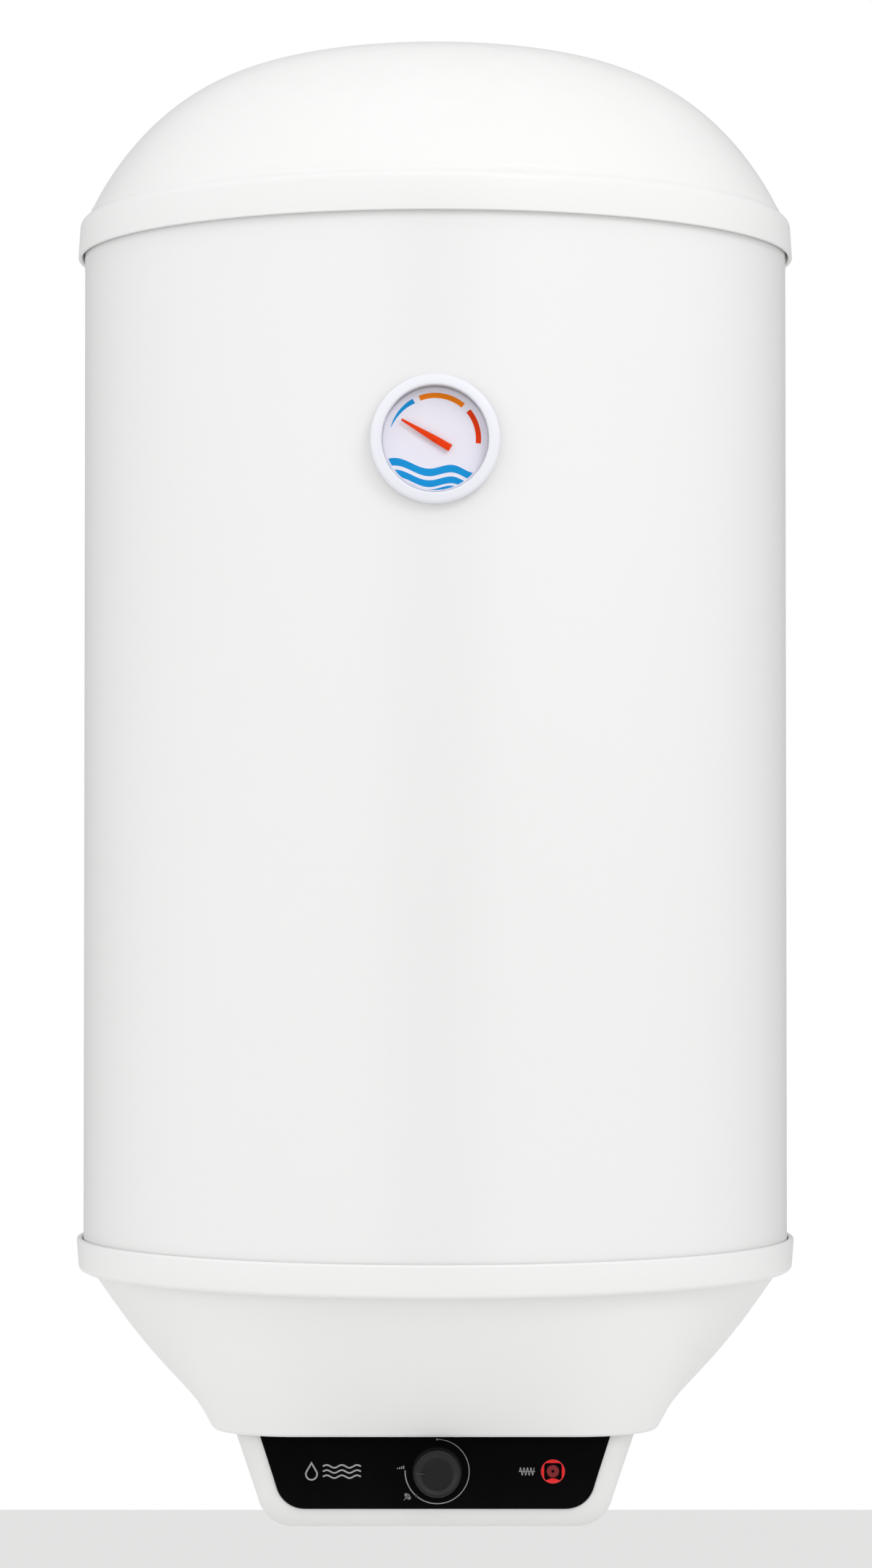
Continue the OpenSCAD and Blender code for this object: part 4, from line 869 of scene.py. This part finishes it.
# ---------------------------------------------------------------- printed marks of the panel
def ring_band(r_mid, widths, start, end, steps):
    """Outline of an arc line whose width runs from one value to another."""
    outer, inner = [], []
    for i in range(steps + 1):
        share = i / steps
        a = radians(start + (end - start) * share)
        w = widths[0] + (widths[1] - widths[0]) * share
        outer.append(((r_mid + w / 2) * cos(a), (r_mid + w / 2) * sin(a)))
        inner.append(((r_mid - w / 2) * cos(a), (r_mid - w / 2) * sin(a)))
    return outer + inner[::-1]


def dot(name, x, z, r, y_back, height):
    return plate(name, arc(0, 0, r, 0, 345, 23), y_back, height, (x, z))


def make_panel_print():
    ink = 0.06 * MM
    back = PANEL_FRONT + 0.01 * MM
    knob = (KNOB_X, CONTROL_Z)
    scale_r = 19.4 * MM
    marks = [plate("mark", ring_band(scale_r, (0.36 * MM, 0.72 * MM), 90, -180, 96), back, ink, knob)]
    for angle, r in ((90, 0.62), (180, 0.6), (229.4, 0.62)):
        a = radians(angle)
        marks.append(dot("mark", KNOB_X + scale_r * cos(a), CONTROL_Z + scale_r * sin(a), r * MM, back, ink))

    # leaf for the economy setting
    leaf_at = (KNOB_X - 17.9 * MM, CONTROL_Z - 15.0 * MM)
    half_leaf = arc(-1.35 * MM, -1.35 * MM, 3.1 * MM, -8, 98, 10)
    mirror = [(-z, -x) for x, z in half_leaf]
    marks.append(stroke("mark", half_leaf[1:-1] + mirror[1:-1], 0.34 * MM, back, ink, leaf_at, closed=True))
    marks.append(stroke("mark", [(-2.3 * MM, -2.3 * MM), (1.1 * MM, 1.1 * MM)], 0.3 * MM, back, ink, leaf_at))

    # rising bars for the highest setting
    for i in range(4):
        x = KNOB_X + (-24 + 1.25 * i) * MM
        base = CONTROL_Z + 1.5 * MM
        marks.append(stroke("mark", [(x, base), (x, base + (0.7 + 0.45 * i) * MM)], 0.6 * MM, back, ink))

    # heating coil beside the lamp
    coil_x = LAMP_X - 15.7 * MM
    pitch, swing = 2.1 * MM, 2.25 * MM
    steps, coils = 64, 4.25
    wave = [(pitch * coils * (i / steps - 0.5), swing * sin(FULL_TURN * coils * i / steps))
            for i in range(steps + 1)]
    marks.append(stroke("mark", wave, 0.38 * MM, back, ink, (coil_x, CONTROL_Z)))
    marks.append(stroke("mark", [(-4.9 * MM, 0), (4.9 * MM, 0)], 0.42 * MM, back, ink, (coil_x, CONTROL_Z)))

    # drop and waves as the maker's place-holder
    sign = (-62 * MM, CONTROL_Z)
    drop_x, drop_r, tip, touch = -12.9 * MM, 3.4 * MM, 5.1 * MM, 28
    belly = arc(0, -1.6 * MM, drop_r, 180 - touch, 360 + touch, 28)
    drop = [(drop_x, tip)] + [(x + drop_x, z) for x, z in belly]
    marks.append(stroke("mark", drop, 0.95 * MM, back, ink, sign, closed=True))
    for i in range(3):
        rise = (3.1 - 3.1 * i) * MM
        swell = [(-6 * MM + 23 * MM * k / 48, rise + 0.85 * MM * sin(FULL_TURN * 2.5 * k / 48))
                 for k in range(49)]
        marks.append(stroke("mark", swell, 0.95 * MM, back, ink, sign))
    place(join("panel_print", marks), SCREEN_GREY)


# ---------------------------------------------------------------- knob
def make_knob():
    r = half_width("thermostat_knob")
    foot_y, face_y = high("thermostat_knob").y, low("thermostat_knob").y
    h = foot_y - face_y
    face_r = r - 0.9 * MM
    edge = 0.7 * MM
    dish_w, dish_h = 4 * MM, 1.1 * MM
    floor_r = face_r - edge - dish_w
    outline = [(0, 3 * MM), (r - 2 * MM, 3 * MM), (r - 2 * MM, 0.3 * MM), (r - 1.8 * MM, 0)]
    outline += arc(r - 0.5 * MM, 0.5 * MM, 0.5 * MM, 270, 360, 4)
    outline += [(r, 1.2 * MM)] + arc(face_r - edge, h - edge, edge, 2, 90, 7)
    outline += [(face_r - edge - 0.25 * MM, h - 0.02 * MM)]
    for i in range(1, 11):
        share = i / 10
        outline.append((face_r - edge - dish_w * share, h - dish_h * (1 - cos(pi * share)) / 2))
    outline += [(floor_r * 0.5, h - dish_h), (0, h - dish_h)]
    knob = lathe("thermostat_knob_moulding", outline, (KNOB_X, foot_y, CONTROL_Z), FRONT, steps=128)
    rib = block("rib", (KNOB_X - face_r + edge, face_y + 0.05 * MM, CONTROL_Z - 0.45 * MM),
                (KNOB_X - face_r + edge + 6.2 * MM, face_y + 2.2 * MM, CONTROL_Z + 0.45 * MM))
    soften(rib, 0.12 * MM)
    # Light grey strip on the upper half of the rib's end: painted highlight of the rib's lit top edge. The lower half
    # stays black.
    line = block("knob_rib_painted_highlight",
                 (KNOB_X - face_r + edge + 0.3 * MM, face_y + 0.01 * MM, CONTROL_Z + 0.02 * MM),
                 (KNOB_X - face_r + edge + 5.9 * MM, face_y + 0.3 * MM, CONTROL_Z + 0.36 * MM))
    soften(line, 0.08 * MM, segments=2)
    place(line, RIB_HIGHLIGHT_GREY, "knob")
    knob = join("thermostat_knob_moulding", [knob, rib])
    dress(knob, "black_matte", "thermostat_knob", body="knob", flat=True)


# ---------------------------------------------------------------- lamp
def round_square(w, h, r, steps=6):
    return (arc(w - r, h - r, r, 0, 90, steps) + arc(r - w, h - r, r, 90, 180, steps)
            + arc(r - w, r - h, r, 180, 270, steps) + arc(w - r, r - h, r, 270, 360, steps))


def make_lamp():
    r = 7.25 * MM
    face = low("lamp_window").y
    back = high("lamp_window").y
    centre = (LAMP_X, CONTROL_Z)
    depth = back - face
    rim = 0.3 * MM
    outline = [(0, 0), (r, 0)] + arc(r - rim, depth - rim, rim, 0, 90, 4) + [(0, depth)]
    window = lathe("lamp_window_lens", outline, (LAMP_X, back, CONTROL_Z), FRONT, steps=96)
    opening = plate("cutter", round_square(5.4 * MM, 5.2 * MM, 2.0 * MM), back + MM, 5 * MM, centre)
    carve(window, opening)
    swell = arc(0, -10.6 * MM, 6.5 * MM, 52, 128, 12)
    base = in_mm((-4.1, -5.4), (4.1, -5.4))
    tongue = plate("tongue", swell + base, back, depth - 0.05 * MM, centre)
    window = join("lamp_window_lens", [window, tongue])
    dress(window, "red_lens", "lamp_window", flat=True)

    ring_y = face + 0.02 * MM
    line = plate("lamp_ring", ring_band(6.9 * MM, (0.16 * MM, 0.16 * MM), 0, 359.9, 96), ring_y, 0.04 * MM, centre)
    place(line, FINISH["red_lens"])

    well_y = back - 0.9 * MM
    # Black gloss disc behind the lens opening: painted shade that stands for the unlit hollow round the lamp behind
    # the window.
    shade_disc = plate("lamp_well_painted_shade", arc(0, 0, 6.95 * MM, 0, 355, 71), back - 0.2 * MM, 0.7 * MM, centre)
    place(shade_disc, FINISH["black_gloss"])
    rings = in_mm((0, 0), (3.8, 0), (3.8, 0.25), (3.55, 0.45), (2.6, 0.45), (2.4, 0.3), (2.2, 0.45),
                  (1.1, 0.45), (0.85, 0.2), (0, 0.2))
    lamp = lathe("lamp_cap", rings, (LAMP_X, well_y, CONTROL_Z), FRONT, steps=72)
    place(lamp, FINISH["lamp_red"], slot="lamp_red")
    eye = dot("lamp_eye", LAMP_X, CONTROL_Z, 0.85 * MM, well_y - 0.19 * MM, 0.05 * MM)
    place(eye, FINISH["black_gloss"])


# ---------------------------------------------------------------- thermometer
def make_bezel():
    lo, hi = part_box("gauge_bezel")
    h = hi.y - lo.y
    edge = 2.6 * MM
    inner = 1.0 * MM
    outline = [(GAUGE_IN, 0), (GAUGE_R - 0.4 * MM, 0), (GAUGE_R, 0.5 * MM)]
    outline += arc(GAUGE_R - edge, h - edge - 0.5 * MM, edge, 0, 80, 10)
    outline += [(GAUGE_IN + inner + 0.9 * MM, h - 0.06 * MM)]
    outline += arc(GAUGE_IN + inner, h - inner, inner, 90, 180, 7)
    bezel = lathe("gauge_bezel_moulding", outline + outline[:1], (0, hi.y, GAUGE_Z), FRONT, steps=160)
    place(bezel, BEZEL_WHITE, slot="white_plastic", replaces=["gauge_bezel"])


def make_gauge_glass():
    """Clear lens, a little domed, with a rounded rim."""
    lo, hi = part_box("gauge_glass")
    r = half_width("gauge_glass")
    t = hi.y - lo.y
    crown = 0.45 * MM
    sweep = [(r * (1 - i / 14), t - crown * (1 - i / 14) ** 2) for i in range(1, 15)]
    outline = [(0, 0), (r - 0.2 * MM, 0), (r, 0.2 * MM), (r, t - crown - 0.1 * MM)] + sweep
    glass_piece = lathe("gauge_glass_lens", outline, (0, hi.y, GAUGE_Z), FRONT, steps=128)
    dress(glass_piece, "clear_lens", "gauge_glass")


SWELL = [(-31, -12.3), (-24.2, -11.4), (-3.4, -17.8), (9.4, -15.5), (24, -20.4), (31, -21.6)]


def wave_height(x):
    """Top edge of the printed water, eased from crest to trough."""
    here = x / MM
    for (x0, z0), (x1, z1) in zip(SWELL, SWELL[1:]):
        if here <= x1:
            share = (1 - cos(pi * max(0.0, (here - x0) / (x1 - x0)))) / 2
            return (z0 + (z1 - z0) * share) * MM
    return SWELL[-1][1] * MM


def water_band(top_drop, bottom_drop, r, steps=64):
    """Outline of one band of water, held inside the dial's circle."""
    upper, lower = [], []
    for i in range(steps + 1):
        x = r * (2 * i / steps - 1)
        chord = sqrt(max(r * r - x * x, 0))
        top = min(wave_height(x) - top_drop, chord)
        bottom = max(wave_height(x) - bottom_drop, -chord)
        if top > bottom + 0.05 * MM:
            upper.append((x, top))
            lower.append((x, bottom))
    return upper + lower[::-1]


def crescent(r_out, r_in, tip, end, steps=24):
    """Arc that starts as a point and grows to its full width."""
    turns = [radians(tip + (end - tip) * i / steps) for i in range(steps + 1)]
    outer = [(r_out * cos(a), r_out * sin(a)) for a in turns]
    inner = []
    for i, a in enumerate(turns):
        r = r_out - (r_out - r_in) * (i / steps) ** 0.75
        inner.append((r * cos(a), r * sin(a)))
    return outer + inner[:0:-1]


def make_dial():
    lo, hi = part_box("gauge_dial")
    r = GAUGE_IN - 0.7 * MM
    t = hi.y - lo.y
    outline = [(0.9 * MM, 0), (r, 0), (r, t - 0.15 * MM), (r - 0.15 * MM, t), (30.3 * MM, t),
               (30.3 * MM, t + 0.12 * MM), (29.9 * MM, t + 0.12 * MM), (29.9 * MM, t), (0.9 * MM, t)]
    dial = lathe("gauge_dial_plate", outline + outline[:1], (0, hi.y, GAUGE_Z), FRONT, steps=128)
    dress(dial, "dial_face", "gauge_dial")

    ink = 0.05 * MM
    back = lo.y + 0.01 * MM
    at = (0, GAUGE_Z + 0.5 * MM)
    r_out, r_in = 27.2 * MM, 24.1 * MM
    mid, width = (r_out + r_in) / 2, r_out - r_in
    water_r = r - 0.6 * MM
    blue = [plate("mark", crescent(r_out, r_in, 166.8, 119.5), back, ink, at)]
    for top_drop, bottom_drop in ((0, 4.5 * MM), (6.9 * MM, 10.9 * MM), (12.3 * MM, 15.5 * MM)):
        blue.append(plate("mark", water_band(top_drop, bottom_drop, water_r), back, ink, at))
    place(join("dial_print_blue", blue), DIAL_BLUE)
    warm = plate("dial_print_orange", ring_band(mid, (width, width), 111.1, 49.7, 28), back, ink, at)
    place(warm, DIAL_ORANGE)
    hot = plate("dial_print_red", ring_band(mid, (width, width), 39.9, -6.3, 24), back, ink, at)
    place(hot, DIAL_RED)


def make_needle():
    """Pointer with a blunt tail and a small hub."""
    lo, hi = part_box("gauge_needle")
    back, front = hi.y, lo.y
    rest = radians(149.6)
    tip, tail, wide, narrow = 0.725 * GAUGE_IN, 0.33 * GAUGE_IN, 4.4 * MM, 1.3 * MM
    shape = [(-tail, -wide / 2), (0, -wide * 0.46), (tip, -narrow / 2), (tip, narrow / 2), (0, wide * 0.46),
             (-tail, wide / 2)]
    turned = [(x * cos(rest) - z * sin(rest), x * sin(rest) + z * cos(rest)) for x, z in shape]
    needle = plate("gauge_needle_pointer", turned, back, back - front, (0, GAUGE_Z))
    soften(needle, 0.14 * MM, segments=2)
    hub_h = back - low("gauge_spindle").y + 0.15 * MM
    hub = [(0, 0), (1.5 * MM, 0), (1.3 * MM, hub_h - 0.4 * MM), (0.9 * MM, hub_h), (0, hub_h)]
    boss = lathe("hub", hub, (0, back, GAUGE_Z), FRONT, steps=40)
    needle = join("gauge_needle_pointer", [needle, boss])
    dress(needle, "pointer_orange", "gauge_needle", body="pointer")
    pin_lo, pin_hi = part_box("gauge_spindle")
    r = half_width("gauge_spindle")
    length = pin_hi.y - pin_lo.y
    outline = [(0, 0), (r, 0), (r, length - 0.2 * MM), (r - 0.2 * MM, length), (0, length)]
    pin = lathe("gauge_spindle_pin", outline, (0, pin_hi.y, GAUGE_Z), FRONT, steps=32)
    dress(pin, "brass", "gauge_spindle", body="pointer")


def make_gauge_case():
    """Cup behind the dial, with a bead round its mouth."""
    lo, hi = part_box("gauge_case")
    r = half_width("gauge_case")
    wall = 1.2 * MM
    mouth = hi.y - high("gauge_dial").y - 0.1 * MM
    outline = [(0, 0), (r - 0.6 * MM, 0), (r, 0.6 * MM), (r, mouth - MM), (r + 0.4 * MM, mouth - 0.6 * MM),
               (r + 0.3 * MM, mouth), (r - wall, mouth), (r - wall, wall), (0, wall)]
    case = lathe("gauge_case_cup", outline, (0, hi.y, GAUGE_Z), FRONT, steps=96)
    place(case, BEZEL_WHITE, slot="white_plastic", replaces=["gauge_case"])


# ---------------------------------------------------------------- pipes and underside
def make_thread(name, foot, r_out, depth, pitch, turns):
    """Pipe thread: a small three-sided outline is screwed up the pipe and its ends are closed."""
    r_in = r_out - depth
    corners = [(r_in, 0), (r_out, pitch * 0.42), (r_out, pitch * 0.5), (r_in, pitch * 0.92)]
    ridge = draw_path([Vector(foot) + Vector((r, 0, z)) for r, z in corners])
    bpy.ops.mesh.edge_face_add()
    bpy.ops.mesh.delete(type="ONLY_FACE")
    leave_edit()
    only(ridge)
    bpy.context.scene.cursor.location = foot
    bpy.ops.object.origin_set(type="ORIGIN_CURSOR")
    modify(ridge, "SCREW", axis="Z", angle=FULL_TURN, screw_offset=pitch, iterations=turns, steps=36,
           render_steps=36, use_merge_vertices=False)
    edit(ridge)
    merge_doubles()
    select_whole()
    bpy.ops.mesh.fill_holes(sides=8)
    bpy.ops.mesh.normals_make_consistent(inside=False)
    leave_edit()
    return settle(ridge, name)


def make_pipe(node_name, name):
    lo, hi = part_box(node_name)
    centre = (lo + hi) / 2
    pipe_r = (hi.x - lo.x) / 2
    thread_r, bore_r, thread_h = 10.48 * MM, 8 * MM, 14 * MM
    core_r = thread_r - 1.16 * MM
    foot = (centre.x, centre.y, lo.z)
    relief = 2.5 * MM
    h = hi.z - lo.z
    outline = [(bore_r, 0.5 * MM), (bore_r + 0.5 * MM, 0), (core_r - 0.4 * MM, 0), (core_r, 0.4 * MM),
               (core_r, thread_h + relief - MM), (pipe_r - 0.5 * MM, thread_h + relief),
               (pipe_r, thread_h + relief + 0.6 * MM), (pipe_r, h), (bore_r, h)]
    body = lathe("pipe", outline + outline[:1], foot, UP, steps=64)
    thread = make_thread("thread", (centre.x, centre.y, lo.z + 0.4 * MM), thread_r, 1.2 * MM, 1.814 * MM, 7)
    pipe = join(name, [body, thread])
    dress(pipe, "zinc_steel", node_name)


def make_collar(node_name, name, slot):
    """Coloured ring round a pipe, with a ribbed grip."""
    lo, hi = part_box(node_name)
    centre = (lo + hi) / 2
    flange_r = (hi.x - lo.x) / 2
    ring_r, bore_r = flange_r - 4 * MM, flange_r - 10.2 * MM
    h, flange_h, edge = hi.z - lo.z, 4 * MM, 0.8 * MM
    outline = [(bore_r, 0.6 * MM), (bore_r + 0.6 * MM, 0)]
    outline += arc(flange_r - edge, edge, edge, 270, 360, 4) + [(flange_r, flange_h - 0.2 * MM)]
    outline += [(flange_r - 0.2 * MM, flange_h), (ring_r, flange_h), (ring_r, h), (bore_r, h)]
    columns = 72
    collar = lathe(name, outline + outline[:1], (centre.x, centre.y, lo.z), UP, steps=columns)
    edit(collar)
    mesh = bmesh.from_edit_mesh(collar.data)
    bpy.ops.mesh.select_all(action="DESELECT")
    bpy.ops.mesh.select_mode(type="FACE")
    for face in mesh.faces:
        spot = face.calc_center_median()
        away = hypot(spot.x - centre.x, spot.y - centre.y)
        if away > flange_r - 0.3 * MM and abs(face.normal.z) < 0.2 and face.calc_area() > 2 * MM * MM:
            turn = Vector((spot.x - centre.x, spot.y - centre.y)).angle_signed(Vector((1, 0)))
            face.select = int(round(turn / (FULL_TURN / columns) - 0.5)) % 2 == 0
    bpy.ops.mesh.inset(thickness=0.25 * MM, depth=-0.35 * MM, use_individual=True)
    leave_edit()
    dress(collar, slot, node_name)


def make_pipe_plate():
    plate_piece = copy_of("pipe_plate", "pipe_plate_moulding")
    soften(plate_piece, 0.4 * MM, angle=40, segments=2)
    dress(plate_piece, "white_plastic", "pipe_plate")


def make_gland():
    """Cord gland: a domed cap with grip flutes, over a flange."""
    lo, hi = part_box("cable_gland")
    centre = (lo + hi) / 2
    bore = 4 * MM
    h = hi.z - lo.z
    outline = [(bore, 0.8 * MM), (bore + 0.5 * MM, 0.15 * MM), (bore + 1.2 * MM, 0)]
    outline += in_mm((7.6, 0), (8.6, 0.7), (9.6, 3.6), (9.8, 4), (10.8, 4.05), (11, 4.3), (11, 5.6), (10.8, 5.9),
                     (8, 5.95))
    outline += [(8 * MM, h - 0.5 * MM), (7.5 * MM, h), (bore, h)]
    gland = lathe("cable_gland_cap", outline + outline[:1], (centre.x, centre.y, lo.z), UP, steps=72)
    flutes = []
    for i in range(12):
        a = FULL_TURN * i / 12
        spot = (centre.x + 9.9 * MM * cos(a), centre.y + 9.9 * MM * sin(a), lo.z - MM)
        flutes.append(drill(0.9 * MM, spot, 4.8 * MM, UP, steps=16))
    carve(gland, *flutes)
    dress(gland, "rubber_black", "cable_gland")


# ---------------------------------------------------------------- wall side and screws
def make_bracket():
    bracket = copy_of("wall_bracket", "wall_bracket_steel")
    soften(bracket, 0.5 * MM, angle=40, segments=2)
    back = high("wall_bracket").y
    ribs = []
    for z in (-14 * MM, 14 * MM):
        rib = block("rib", (-50 * MM, back - 4.2 * MM, z - 3 * MM), (50 * MM, back - 2.6 * MM, z + 3 * MM))
        ribs.append(soften(rib, 0.7 * MM))
    bracket = join("wall_bracket_steel", [bracket] + ribs)
    dress(bracket, "zinc_steel", "wall_bracket", flat=True)


def make_softened(node_name, name, slot, width):
    piece = copy_of(node_name, name)
    soften(piece, width, angle=40, segments=2)
    dress(piece, slot, node_name, flat=True)


def dress_cad_nodes():
    """Every CAD node that still shows gets the finish of its own slot."""
    slots = {part["node"]: part["material_slot"] for part in frame["record"]["subparts"]}
    for name, cad in frame["nodes"].items():
        finish_of = FINISH[slots[name]]
        if cad.material_slots:
            for slot in cad.material_slots:
                slot.material = finish_of
        else:
            cad.data.materials.append(finish_of)


for make in (make_jacket, make_top_cap, make_bottom_cap, make_service_cover, make_front_panel, make_panel_print,
             make_knob, make_lamp, make_bezel, make_gauge_glass, make_dial, make_needle, make_gauge_case):
    make()
for side in ("cold", "hot"):
    make_pipe(f"{side}_pipe", f"{side}_pipe_threaded")
make_collar("cold_collar", "cold_collar_ring", "blue_plastic")
make_collar("hot_collar", "hot_collar_ring", "red_plastic")
make_pipe_plate()
make_gland()
make_bracket()
make_softened("rear_buffers", "rear_buffer_pads", "rubber_black", 0.8 * MM)
make_softened("cap_screws", "cap_screw_heads", "zinc_steel", 0.12 * MM)
make_softened("cover_screws", "cover_screw_heads", "zinc_steel", 0.12 * MM)
dress_cad_nodes()
